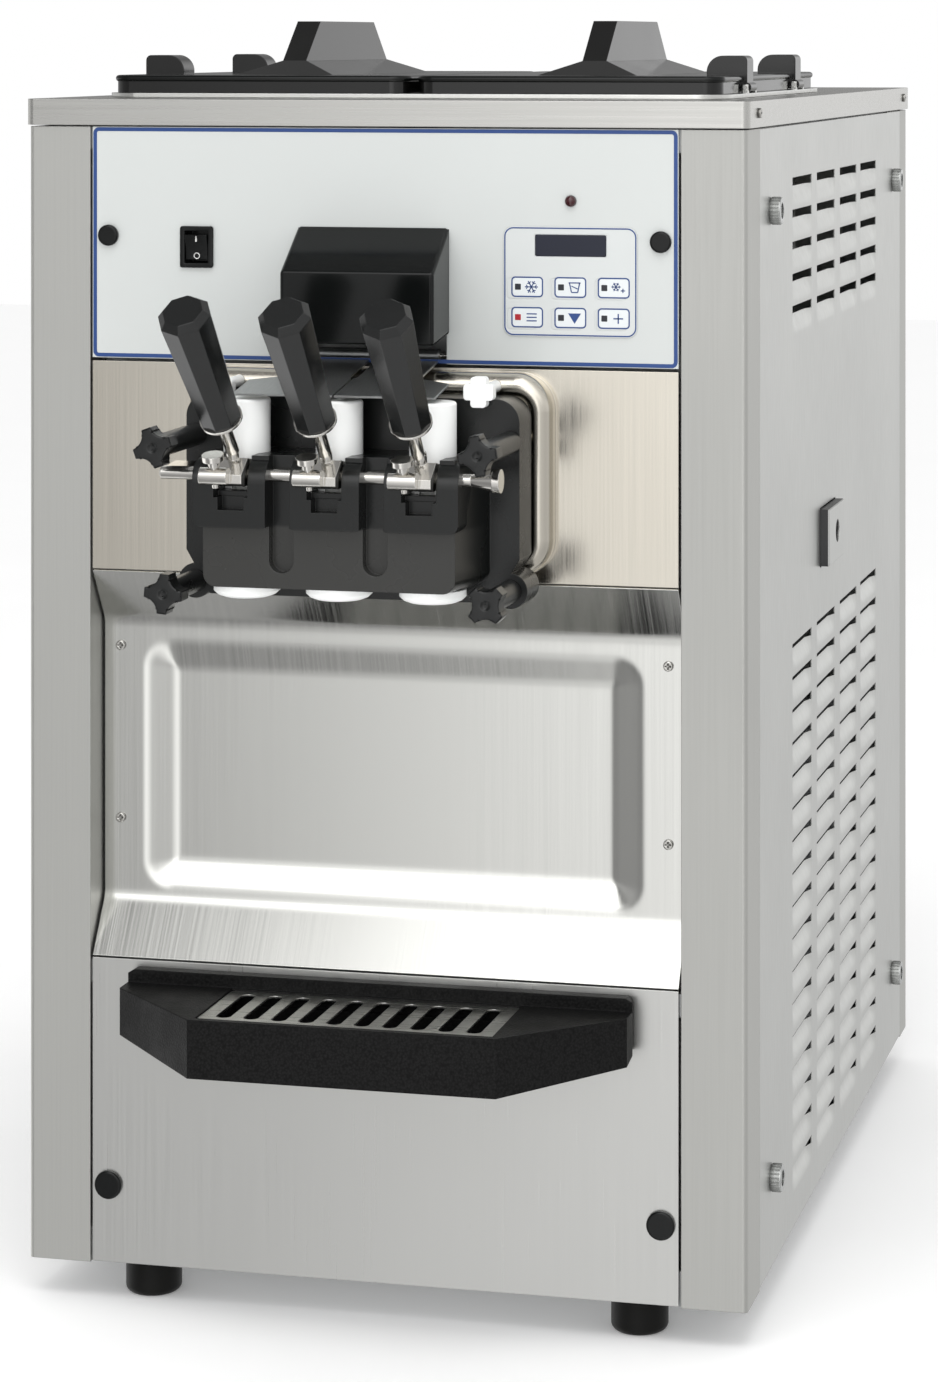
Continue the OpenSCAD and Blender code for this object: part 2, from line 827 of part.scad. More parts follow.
// Pin through the knuckles, with a flat finger tab at its left end and a cone-shaped head.
module pivot_pin() {
    color([0.8, 0.8, 0.78]) translate([0, -pin_out, pin_z]) {
        rod_x(head_x - 118, head_x + 99, pin_d);
        translate([head_x + 98, 0, 0]) rotate([0, 90, 0]) cylinder(h = 16, d1 = pin_d - 0.5, d2 = 14.5);
        rod_x(head_x + 113.9, head_x + 119, 16);
        rotate([6, 0, 0]) span([head_x - 119, -3, -1.8], [head_x - 101, 29, 1.8]);
    }
}

// ---------- levers ----------

tilt = 47.5;
grip_low = [-135.1, 614.9];
grip_len = 102.6;
splay = 2;

// Axes of a grip: local Z runs up the grip from its washer.
module on_grip(side) {
    translate([0, grip_low[0], grip_low[1]]) rotate([0, side * splay, 0])
        rotate([90 - tilt, 0, 0]) children();
}

// Cross barrel at the front of a lever's block, and the frame of the screw through it.
barrel_yz = [-128.5, 576];
screw_x = -7;
screw_lean = 16;
barrel_d = 12;

module on_barrel() {
    translate([screw_x, barrel_yz[0], barrel_yz[1]]) rotate([screw_lean, 0, 0]) children();
}

// Lever: pivot block, nose in the valve slot, rod bent forward, and the grip's washer.
nose_drop = 4;

module lever(i) {
    side = i - 1;
    block = 22;
    rod = 9.2;
    hub_r = 7.5;
    color([0.7, 0.7, 0.67]) translate([station_x[i], 0, 0]) difference() {
        union() {
            profile(-block / 2, block / 2) union() {
                translate([-pin_out, pin_z]) circle(hub_r);
                polygon([[-108, 568.5], [-120, 568.5], [-127, 571], [-127, 577], [-113, 587],
                    [-103, 585], [-99, 579]]);
            }
            translate([0, barrel_yz[0], barrel_yz[1]]) rod_x(-17, 2.5, barrel_d);
            translate([0, -109, 577]) rotate([16, 0, 0]) cylinder(h = 16, d = rod);
            translate([0, -113.5, 592.2]) sphere(d = rod);
            span([-5.5, -104, pin_z - nose_drop - 3.5], [5.5, -82, pin_z - nose_drop + 3.5]);
            translate([0, valve_y, pin_z - nose_drop]) rod_x(-5.5, 5.5, 9.6);
            on_grip(side) {
                translate([0, 0, -31.5]) cylinder(h = 43.5, d = rod);
                cylinder(h = 2, d = 29);
            }
        }
        translate([0, -pin_out, pin_z]) rod_x(-20, 20, pin_d + 2 * run);
        on_barrel() translate([0, 0, -12]) cylinder(h = 40, d = 5 + 2 * run);
        on_grip(side) translate([0, 0, 12 - tiny]) cylinder(h = 5, d = rod + 1);
    }
}

// Octagonal grip, narrower at the washer, with a chamfered top.
module grip(i) {
    side = i - 1;
    wide = 33.5;
    narrow = 26;
    edge = 5;
    cut = cos(22.5);
    color([0.05, 0.05, 0.055]) translate([station_x[i], 0, 0]) on_grip(side) difference() {
        translate([0, 0, 2]) union() {
            cylinder(h = grip_len - edge, d1 = narrow / cut, d2 = wide / cut, $fn = 8);
            translate([0, 0, grip_len - edge - tiny])
                cylinder(h = edge, d1 = wide / cut, d2 = (wide - 8) / cut, $fn = 8);
        }
        translate([0, 0, 1]) cylinder(h = 11.5, d = 9.2 + 2 * run);
    }
}

module adjust_screw(i) {
    head = 15;
    color([0.8, 0.8, 0.78]) translate([station_x[i], 0, 0]) on_barrel() {
        translate([0, 0, 11.5]) cylinder(h = 4, d = head);
        translate([0, 0, 7]) cylinder(h = 5, d = 8);
        translate([0, 0, -8]) cylinder(h = 16, d = 5);
    }
}

// ---------- valves and plugs ----------

module valve(i) {
    low = 512;
    high = 624.5;
    r = valve_d / 2;
    slot_low = pin_z - nose_drop - 5.1;
    slot_high = pin_z - nose_drop + 5.1;
    color([0.93, 0.93, 0.9]) translate([station_x[i], valve_y, 0]) difference() {
        rotate_extrude() union() {
            translate([0, low]) square([r, high - low - 2]);
            translate([0, high - 2.1]) square([r - 2, 2.1]);
            intersection() {
                translate([r - 2, high - 2]) circle(2);
                translate([0, high - 2.1]) square([r, 3]);
            }
        }
        profile(-5.8, 5.8) polygon([[-r - 2, slot_low - 11.5], [-3, slot_low], [r - 8, slot_low],
            [r - 8, slot_high], [-r - 2, slot_high]]);
        for (z = [low + 6, low + 34]) translate([0, 0, z]) difference() {
            cylinder(h = 3, r = r + 1);
            cylinder(h = 3, r = r - 1.8);
        }
    }
}

module nozzle_caps() {
    star_r = 9;
    points = 6;
    color([0.93, 0.93, 0.9]) for (x = station_x) translate([x, valve_y, 0]) difference() {
        rotate_extrude() polygon([[0, 490], [16, 490], [20, 491.5], [22.6, 494], [22.6, 498.9],
            [20.1, 498.9], [20.1, 494.9], [0, 494.9]]);
        translate([0, 0, 480]) linear_extrude(20) union() {
            circle(star_r * 0.6);
            for (a = [0:points - 1]) rotate(a * 360 / points)
                polygon([[3, -3.1], [star_r, 0], [3, 3.1]]);
        }
    }
}

// Cross-headed plug that closes the bleed port in the ring.
plug_z = 628.5;
plug_x = 92.4;
plug_stem = 8;

module bleed_plug(s) {
    arm = 11;
    reach = 20.8;
    head_front = -64;
    head_back = -56;
    color([0.94, 0.94, 0.92]) translate([head_x + s * plug_x, 0, plug_z + 1]) union() {
        facing(head_front, head_back) union() {
            round_rect(reach, arm, 2.5);
            round_rect(arm, reach, 2.5);
        }
        rod_y(head_back - 1, -3, plug_stem);
    }
}

// ---------- hoppers and lids ----------

pan_w = 206;
pan_floor = 690;

module hopper_pans() {
    wall = 1.5;
    rim_top = 828.8;
    mid_y = (hopper_y0 + hopper_y1) / 2;
    color([0.74, 0.74, 0.72]) difference() {
        union() {
            translate([0, mid_y, rim_top - 3]) linear_extrude(3) round_rect(464, 406, 24);
            for (sx = [-1, 1]) translate([sx * 112, mid_y, pan_floor]) linear_extrude(137)
                round_rect(pan_w + 2 * wall, hopper_y1 - hopper_y0, 22);
            for (i = [0, 1]) translate([cyl_x[i], feed_y, 616]) cylinder(h = 76, d = feed_d);
            for (sx = [-1, 1], y = lug_y) translate([sx * hinge_x, y, hinge_z]) {
                rod_y(-17, 17, hinge_d);
                for (e = [-1, 1]) translate([0, e * 15, 0])
                    span([-2.1, -1.8, -7], [2.1, 1.8, 2.1]);
            }
        }
        for (sx = [-1, 1]) translate([sx * 112, mid_y, pan_floor + wall]) linear_extrude(150)
            round_rect(pan_w, hopper_y1 - hopper_y0 - 2 * wall, 20.5);
        for (i = [0, 1]) translate([cyl_x[i], feed_y, 600]) cylinder(h = 100, d = feed_d - 3);
    }
}

lid_mid_y = 79 + 391 / 2;
lid_base = 829;
lid_skirt = 841.6;

// Low hipped top, then a ridge handle with slanted ends.
module lid_shape() {
    hip = 10.4;
    flare_x = 37;
    flare_y = 132;
    handle_base = 108;
    handle_top = 71.5;
    low = lid_skirt - 0.5;
    union() {
        translate([0, 0, lid_base]) linear_extrude(lid_skirt - lid_base) round_rect(lid_w, lid_l, 12);
        intersection() {
            profile(-flare_x, flare_x) polygon([[-flare_y, low], [flare_y, low], [flare_y, lid_skirt],
                [handle_base, lid_skirt + hip], [-handle_base, lid_skirt + hip],
                [-flare_y, lid_skirt]]);
            facing(-flare_y, flare_y) polygon([[-flare_x, low], [flare_x, low],
                [flare_x, lid_skirt], [9, lid_skirt + hip], [-9, lid_skirt + hip],
                [-flare_x, lid_skirt]]);
        }
        profile(-9, 9) polygon([[-handle_base, lid_skirt + hip - 2],
            [handle_base, lid_skirt + hip - 2], [handle_base, lid_skirt + hip],
            [handle_top, 881.5], [-handle_top, 881.5], [-handle_base, lid_skirt + hip]]);
    }
}

lug_y = [lid_mid_y - 102, lid_mid_y + 102];
hinge_x = 229.5;
hinge_z = 833;
hinge_d = 4;

// Arch-shaped hinge lug: over the lid's edge and down to the hinge pin on the rim.
module lid_lug() {
    half = 12;
    facing(-half, half) difference() {
        union() {
            translate([200 + 12, 844]) circle(12);
            translate([212, 832]) square([14, 24]);
            translate([226, 846]) circle(4);
            translate([222, 846]) square([4.5, 10]);
            translate([222, 852]) circle(4);
            translate([226, hinge_z]) square([4, 19]);
            translate([222, 852]) square([4, 4]);
            translate([226, 852]) circle(4);
            translate([hinge_x, hinge_z]) circle(3.5);
        }
        translate([195, 820]) square([31, 21.4]);
    }
}

module lid(side) {
    wall = 3;
    color([0.02, 0.02, 0.022]) mirror([side > 0 ? 0 : 1, 0, 0]) difference() {
        union() {
            translate([115, lid_mid_y, 0]) difference() {
                lid_shape();
                translate([0, 0, lid_base - tiny]) linear_extrude(lid_skirt - lid_base - 1)
                    round_rect(lid_w - 2 * wall, lid_l - 2 * wall, 9);
            }
            for (y = lug_y) translate([0, y, 0]) lid_lug();
        }
        for (y = lug_y) translate([hinge_x, y, hinge_z]) rod_y(-20, 20, hinge_d + 2 * run);
    }
}

module mix_tubes() {
    color([0.9, 0.9, 0.88]) for (i = [0, 1]) translate([cyl_x[i], feed_y, 0]) difference() {
        union() {
            translate([0, 0, 640]) cylinder(h = 170, d = 14);
            translate([0, 0, 660]) cylinder(h = 28, d = 24.9);
            translate([0, 0, 800]) cylinder(h = 8, d = 22);
        }
        translate([0, 0, 630]) cylinder(h = 200, d = 9);
        translate([0, 0, 700]) rod_y(-10, 10, 4);
    }
}

// ---------- freezing and drive ----------

module freezing_cylinders() {
    wall = 3;
    jacket = 4;
    color([0.76, 0.76, 0.74]) for (x = cyl_x) translate([x, 0, cyl_z]) difference() {
        union() {
            rod_y(seat_y, cyl_back, cyl_bore + 2 * wall);
            rod_y(seat_y, 4, collar_d);
            rod_y(24, cyl_back - 22, cyl_bore + 2 * (wall + jacket));
            rod_y(cyl_back - 4, cyl_back + 4, cyl_bore + 2 * wall);
        }
        rod_y(seat_y - 1, cyl_back - 6, cyl_bore);
        rod_y(cyl_back - 10, cyl_back + 5, 16 + 2 * run);
        translate([0, feed_y, 40]) cylinder(h = 30, d = feed_d + 0.2);
        rod_y(seat_y - 1, seat_y + 2, collar_d - 1.8);
    }
}

module beater(i) {
    r = cyl_bore / 2 - 3;
    from = -12;
    to = cyl_back - 14;
    rings = 4;
    color([0.92, 0.92, 0.9]) translate([cyl_x[i], 0, cyl_z]) union() {
        rod_y(from, to, 10);
        for (k = [0:rings - 1]) translate([0, from + 14 + k * (to - from - 40) / (rings - 1), 0])
            rotate([90, 0, 0]) difference() {
                cylinder(h = 8, r = r - 4);
                translate([0, 0, -1]) cylinder(h = 10, r = r - 14);
                rotate([0, 0, k * 45]) span([0, 0, -1], [r, r, 10]);
            }
        for (a = [0, 180]) rotate([0, a, 0]) {
            span([4, from + 6, -4], [r - 6, from + 12, 4]);
            span([r - 9, from + 6, -4], [r, to, 4]);
            span([4, to - 12, -4], [r - 6, to, 4]);
            for (k = [1:rings - 2])
                span([4, from + 6 + k * (to - from - 40) / (rings - 1), -4],
                    [r - 8, from + 14 + k * (to - from - 40) / (rings - 1), 4]);
        }
        rod_y(to - 1, 384, 16);
        translate([0, 384 - tiny, -5]) translate([-5, 0, 0]) cube([10, 24, 10]);
    }
}

module gear_motors() {
    front = 389.1;
    color([0.3, 0.33, 0.36]) for (x = cyl_x) translate([x, 0, cyl_z]) difference() {
        union() {
            rod_y(front, front + 60, 104);
            translate([0, 0, -10]) rod_y(front + 59, front + 180, 92);
            translate([0, 0, -10]) rod_y(front + 179, front + 200, 96);
            span([-34, front + 70, 30], [34, front + 150, 62]);
        }
        rod_y(front - 1, front + 24, 14.6);
    }
}

module compressor() {
    x = -60;
    y = 600;
    low = 20;
    color([0.03, 0.03, 0.03]) translate([x, y, 0]) {
        rotate_extrude() union() {
            translate([0, low]) square([88, 150]);
            translate([0, low - 6]) square([70, 176]);
            intersection() {
                translate([70, low + 150]) circle(18);
                translate([0, low + 150]) square([100, 40]);
            }
            translate([0, low + 149]) square([70, 19]);
        }
        for (sx = [-1, 1], sy = [-1, 1]) translate([sx * 60, sy * 50, 0]) {
            translate([0, 0, 2.1]) cylinder(h = 14, d = 24);
            translate([0, 0, -2]) cylinder(h = 20, d = 7.8);
        }
        translate([-72, -62, 15]) cube([144, 124, 4]);
        translate([0, -84, 110]) cube([60, 40, 50], center = true);
    }
}

condenser_x = 205;
fan_y = 330;
fan_z = 190;

// Finned block on the right side of the base, with a fan shroud on its inner face.
module condenser() {
    fins = 9;
    tubes = 6;
    color([0.66, 0.55, 0.42]) {
        for (k = [0:fins - 1]) translate([0, 160 + k * 42, 40])
            span([condenser_x, 0, 0], [condenser_x + 44, 1, 300]);
        for (k = [0:tubes - 1], x = [11, 33]) translate([condenser_x + x, 0, 65 + k * 50])
            rod_y(156, 500, 9.5);
        for (y = [154, 497]) span([condenser_x - 1, y, 2.1], [condenser_x + 45, y + 2, 345]);
        difference() {
            span([condenser_x - 26, 154, 32], [condenser_x - 1, 499, 345]);
            span([condenser_x - 24.5, 156, 34], [condenser_x, 497, 343]);
            translate([0, fan_y, fan_z]) rod_x(condenser_x - 30, condenser_x - 20, 252);
        }
    }
}

module fan_motor() {
    color([0.2, 0.2, 0.21]) translate([0, fan_y, fan_z]) {
        rod_x(condenser_x - 110, condenser_x - 46, 78);
        rod_x(condenser_x - 47, condenser_x - 26, 8);
        for (a = [0, 90]) rotate([a, 0, 0])
            span([condenser_x - 56, -140, -5], [condenser_x - 53, 140, 5]);
        for (a = [0:90:270]) rotate([a, 0, 0])
            span([condenser_x - 56, 134, -5], [condenser_x - 26.1, 140, 5]);
    }
}

module fan_blade() {
    blades = 5;
    reach = 118;
    color([0.55, 0.57, 0.6]) translate([0, fan_y, fan_z]) difference() {
        union() {
            rod_x(condenser_x - 42, condenser_x - 22, 44);
            for (k = [0:blades - 1]) rotate([k * 360 / blades, 0, 0]) intersection() {
                translate([condenser_x - 29, 0, 0]) rotate([0, 0, 24])
                    span([-1, -34, 18], [1, 34, reach]);
                rod_x(condenser_x - 60, condenser_x, 2 * reach);
            }
        }
        rod_x(condenser_x - 50, condenser_x - 25.9, 8 + 2 * run);
    }
}

module leak_drawer() {
    x1 = half_w + 6;
    wall = 1.5;
    color([0.76, 0.76, 0.74]) difference() {
        union() {
            span([x1 - 6.5, 301.4, 467.4], [x1, 372.6, 510.6]);
            span([half_w - drawer_l, 304, 470], [half_w, 370, 506]);
        }
        span([half_w - drawer_l + wall, 304 + wall, 470 + wall],
            [half_w - 4, 370 - wall, 520]);
        translate([0, 340, 490]) rod_x(x1 - 4, x1 + 1, 17.5);
    }
}

// Cord out of the rear panel: strain relief, a bend and the plug's cable, all round.
module power_cord() {
    bend = 30;
    hang = 58;
    color([0.04, 0.04, 0.04]) translate([-180, cab_d, 60]) {
        rod_y(-8, 3, 21.6);
        rod_y(3 - tiny, 16, 14);
        rod_y(-40, 30, 9);
        translate([0, 30, -bend]) rotate([0, -90, 0]) rotate([0, 0, 0])
            rotate_extrude(angle = 90) translate([bend, 0]) circle(4.5);
        translate([0, 30 + bend, -hang]) cylinder(h = hang - bend, d = 9);
    }
}

// ---------- placing ----------

row() cabinet_frame();
row() corner_posts();
row() side_panel_left();
row() side_panel_right();
row() rear_panel();
row() top_cover();
row() control_panel();
row() dispenser_plate();
row() splash_panel();
row() lower_front_panel();
row() drip_tray();
row() drip_grid();
row() feet();
row() panel_plugs();
row() panel_screws();
row() thumb_screws();
row() switch_bezel();
row() switch_rocker();
row() keypad_overlay();
row() controller();
row() switch_hood();
row() flap_rod();
row() flap_left();
row() flap_right();
row() door_body();
row() door_gaskets();
row() door_knob(head_x - stud_x, stud_high, knob_high, 20);  // door_knob_upper_left
row() door_knob(head_x + stud_x, stud_high, knob_high, 10);  // door_knob_upper_right
row() door_knob(head_x - stud_x, stud_low, knob_low, -5);  // door_knob_lower_left
row() door_knob(head_x + stud_x, stud_low, knob_low, 45);  // door_knob_lower_right
row() pivot_pin();
row() lever(0);  // lever_left
row() lever(1);  // lever_centre
row() lever(2);  // lever_right
row() grip(0);  // grip_left
row() grip(1);  // grip_centre
row() grip(2);  // grip_right
row() adjust_screw(0);  // adjust_screw_left
row() adjust_screw(1);  // adjust_screw_centre
row() adjust_screw(2);  // adjust_screw_right
row() valve(0);  // valve_left
row() valve(1);  // valve_centre
row() valve(2);  // valve_right
row() nozzle_caps();
row() bleed_plug(-1);  // bleed_plug_left
row() bleed_plug(1);  // bleed_plug_right
row() hopper_pans();
row() lid(-1);  // lid_left
row() lid(1);  // lid_right
row() mix_tubes();
row() freezing_cylinders();
row() beater(0);  // beater_left
row() beater(1);  // beater_right
row() gear_motors();
row() compressor();
row() condenser();
row() fan_motor();
row() fan_blade();
row() leak_drawer();
row() power_cord();
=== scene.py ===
import math

import bmesh
import bpy
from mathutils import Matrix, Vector


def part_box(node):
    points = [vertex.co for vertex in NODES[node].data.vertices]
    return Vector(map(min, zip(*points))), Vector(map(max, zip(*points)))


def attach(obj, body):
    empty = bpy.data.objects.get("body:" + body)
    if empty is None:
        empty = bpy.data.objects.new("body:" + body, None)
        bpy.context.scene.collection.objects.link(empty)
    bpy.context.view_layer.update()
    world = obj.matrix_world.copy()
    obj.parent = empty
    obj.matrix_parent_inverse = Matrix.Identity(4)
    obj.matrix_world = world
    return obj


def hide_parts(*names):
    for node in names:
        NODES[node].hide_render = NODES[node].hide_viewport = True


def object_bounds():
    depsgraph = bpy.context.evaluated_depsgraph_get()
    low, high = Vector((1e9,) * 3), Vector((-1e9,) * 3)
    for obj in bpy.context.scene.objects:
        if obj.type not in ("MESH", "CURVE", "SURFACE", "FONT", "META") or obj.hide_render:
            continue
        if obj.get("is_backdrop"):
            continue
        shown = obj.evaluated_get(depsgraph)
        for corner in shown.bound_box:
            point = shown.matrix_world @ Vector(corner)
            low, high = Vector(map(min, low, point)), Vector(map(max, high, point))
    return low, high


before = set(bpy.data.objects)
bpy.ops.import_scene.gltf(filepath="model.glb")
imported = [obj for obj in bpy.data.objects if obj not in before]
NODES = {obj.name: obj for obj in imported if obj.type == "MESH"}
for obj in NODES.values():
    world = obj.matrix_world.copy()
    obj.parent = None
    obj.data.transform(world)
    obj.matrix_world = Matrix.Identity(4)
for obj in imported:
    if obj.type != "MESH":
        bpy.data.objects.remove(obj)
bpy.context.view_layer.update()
SCENE = bpy.context.scene
FRONT_Y = 304.3  # mm from the cabinet's front plane back to the row's origin
FLOOR_Z = 27  # mm from the bench up to the cabinet's floor
SIDES = ("left", "right")
STATIONS = ("left", "centre", "right")


def at(x, y, z):
    """Cabinet millimetres (front plane Y 0, cabinet floor Z 0) to metres in the row frame."""
    return Vector((x / 1000, (y - FRONT_Y) / 1000, (z + FLOOR_Z) / 1000))


def cabinet_box(name):
    """A node's low and high corners in cabinet millimetres."""
    low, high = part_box(name)
    return [Vector((p.x * 1000, p.y * 1000 + FRONT_Y, p.z * 1000 - FLOOR_Z)) for p in (low, high)]


# ---------------------------------------------------------------- shader helpers

def new_material(name):
    mat = bpy.data.materials.new(name)
    mat.use_nodes = True
    return mat, mat.node_tree, mat.node_tree.nodes["Principled BSDF"]


def coords(tree, scale=(1, 1, 1)):
    source = tree.nodes.new("ShaderNodeTexCoord")
    mapping = tree.nodes.new("ShaderNodeMapping")
    mapping.inputs["Scale"].default_value = scale
    tree.links.new(source.outputs["Object"], mapping.inputs["Vector"])
    return mapping.outputs["Vector"]


def noise(tree, vector, scale, detail=4.0, rough=0.55):
    tex = tree.nodes.new("ShaderNodeTexNoise")
    tex.inputs["Scale"].default_value = scale
    tex.inputs["Detail"].default_value = detail
    tex.inputs["Roughness"].default_value = rough
    tree.links.new(vector, tex.inputs["Vector"])
    return tex.outputs["Fac"]


def remap(tree, value, low, high, from_low=0.3, from_high=0.7):
    node = tree.nodes.new("ShaderNodeMapRange")
    node.inputs["From Min"].default_value = from_low
    node.inputs["From Max"].default_value = from_high
    node.inputs["To Min"].default_value = low
    node.inputs["To Max"].default_value = high
    tree.links.new(value, node.inputs["Value"])
    return node.outputs["Result"]


def mix_colors(tree, fac, a, b):
    node = tree.nodes.new("ShaderNodeMix")
    node.data_type = "RGBA"
    tree.links.new(fac, node.inputs[0])
    node.inputs[6].default_value = (*a, 1)
    node.inputs[7].default_value = (*b, 1)
    return node.outputs[2]


def add_bump(tree, shader, height, strength, distance, soft=0.0008):
    """Bump, over edges that catch the light as if broken by hand."""
    bump = tree.nodes.new("ShaderNodeBump")
    edge = tree.nodes.new("ShaderNodeBevel")
    edge.samples = 6
    edge.inputs["Radius"].default_value = soft
    tree.links.new(edge.outputs["Normal"], bump.inputs["Normal"])
    bump.inputs["Strength"].default_value = strength
    bump.inputs["Distance"].default_value = distance
    tree.links.new(height, bump.inputs["Height"])
    tree.links.new(bump.outputs["Normal"], shader.inputs["Normal"])


def steel(name, color, rough=0.3, grain=(700, 700, 6), cloud_at=3.0, stain=0.05, bump=0.04):
    """Brushed sheet: fine scratches along the axis with the small scale, and faint cloudy patches."""
    mat, tree, shader = new_material(name)
    lines = noise(tree, coords(tree, grain), 1.0, 3.0, 0.6)
    cloud = noise(tree, coords(tree), cloud_at, 4.0)
    dark = tuple(c * (1 - stain) for c in color)
    tree.links.new(mix_colors(tree, remap(tree, cloud, 0, 1), dark, color), shader.inputs["Base Color"])
    shader.inputs["Metallic"].default_value = 1.0
    tree.links.new(remap(tree, lines, rough - 0.05, rough + 0.07), shader.inputs["Roughness"])
    add_bump(tree, shader, lines, bump, 0.0003)
    return mat


def plastic(name, color, rough=0.35, grain=260, bump=0.06, coat=0.0, wear=0.02, specular=0.5):
    """Moulded plastic: fine skin texture, faint patches in the gloss."""
    mat, tree, shader = new_material(name)
    skin = noise(tree, coords(tree), grain, 3.0)
    patch = noise(tree, coords(tree), 14, 4.0)
    light = tuple(min(1, c + wear) for c in color)
    tree.links.new(mix_colors(tree, remap(tree, patch, 0, 1), color, light), shader.inputs["Base Color"])
    tree.links.new(remap(tree, patch, rough - 0.03, rough + 0.05), shader.inputs["Roughness"])
    shader.inputs["Coat Weight"].default_value = coat
    shader.inputs["Coat Roughness"].default_value = 0.05
    shader.inputs["Specular IOR Level"].default_value = specular
    add_bump(tree, shader, skin, bump, 0.0005)
    return mat


def paint(name, color, rough=0.3, coat=0.0):
    """Sprayed or printed finish: orange peel in the gloss and a trace of dust."""
    mat, tree, shader = new_material(name)
    peel = noise(tree, coords(tree), 420, 2.0)
    cloud = noise(tree, coords(tree), 6, 3.0)
    dust_and_sheen = tuple(c * 0.96 + 0.005 for c in color)
    tree.links.new(mix_colors(tree, remap(tree, cloud, 0, 1), color, dust_and_sheen), shader.inputs["Base Color"])
    tree.links.new(remap(tree, cloud, rough - 0.03, rough + 0.04), shader.inputs["Roughness"])
    shader.inputs["Coat Weight"].default_value = coat
    add_bump(tree, shader, peel, 0.03, 0.0003)
    return mat


def door_plastic(name, dark, dust_and_sheen, rough, level):
    """Moulded door: the body below the hinge tabs, where it stands furthest forward, is painted a lighter
    grey than the tabs as a painted sheen for the light falling on that face.
    """
    mat = plastic(name, dark, rough, 400, 0.05, wear=0.003)
    tree = mat.node_tree
    place = tree.nodes.new("ShaderNodeSeparateXYZ")
    tree.links.new(coords(tree), place.inputs[0])
    low = remap(tree, place.outputs[2], 1, 0, level - 0.001, level + 0.001)
    front = remap(tree, place.outputs[1], 1, 0, at(0, -100, 0).y, at(0, -60, 0).y)
    sheen_mask = tree.nodes.new("ShaderNodeMath")
    sheen_mask.operation = "MULTIPLY"
    tree.links.new(low, sheen_mask.inputs[0])
    tree.links.new(front, sheen_mask.inputs[1])
    # painted sheen: the lower, most forward part of the door is mixed from the black towards the lighter
    # grey
    tree.links.new(mix_colors(tree, sheen_mask.outputs[0], dark, dust_and_sheen),
                   tree.nodes["Principled BSDF"].inputs["Base Color"])
    return mat


def leather_grain(name, color, rough=0.5):
    """Coarse pebbled skin of the drip tray."""
    mat, tree, shader = new_material(name)
    cells = tree.nodes.new("ShaderNodeTexVoronoi")
    cells.inputs["Scale"].default_value = 620
    tree.links.new(coords(tree), cells.inputs["Vector"])
    patch = noise(tree, coords(tree), 30, 4.0)
    light = tuple(c * 1.6 + 0.006 for c in color)
    tree.links.new(mix_colors(tree, remap(tree, cells.outputs["Distance"], 0, 1, 0.0, 0.8), light, color),
                   shader.inputs["Base Color"])
    tree.links.new(remap(tree, patch, rough - 0.06, rough + 0.08), shader.inputs["Roughness"])
    shader.inputs["Specular IOR Level"].default_value = 0.12
    add_bump(tree, shader, cells.outputs["Distance"], 0.35, 0.0005, soft=0.0015)
    return mat


def zinc_painted_shade(name, color, rough=0.3):
    """Zinc plate with bright scratches and dull patches, and painted shade darkening its crevices."""
    mat, tree, shader = new_material(name)
    patch = noise(tree, coords(tree), 240, 4.0)
    # painted shade: ambient occlusion over 4 mm darkens the crevices towards 6% of the zinc colour
    painted_shade_ao = tree.nodes.new("ShaderNodeAmbientOcclusion")
    painted_shade_ao.samples = 6
    painted_shade_ao.inputs["Distance"].default_value = 0.004
    unshaded_share = tree.nodes.new("ShaderNodeMath")
    unshaded_share.operation = "POWER"
    unshaded_share.inputs[1].default_value = 1.8
    tree.links.new(painted_shade_ao.outputs["AO"], unshaded_share.inputs[0])
    tree.links.new(mix_colors(tree, unshaded_share.outputs[0], tuple(c * 0.06 for c in color), color),
                   shader.inputs["Base Color"])
    shader.inputs["Metallic"].default_value = 1.0
    tree.links.new(remap(tree, patch, rough - 0.1, rough + 0.15), shader.inputs["Roughness"])
    add_bump(tree, shader, patch, 0.15, 0.0004)
    return mat


TABS_LOW = at(0, 0, 540).z  # lower edge of the door's hinge tabs

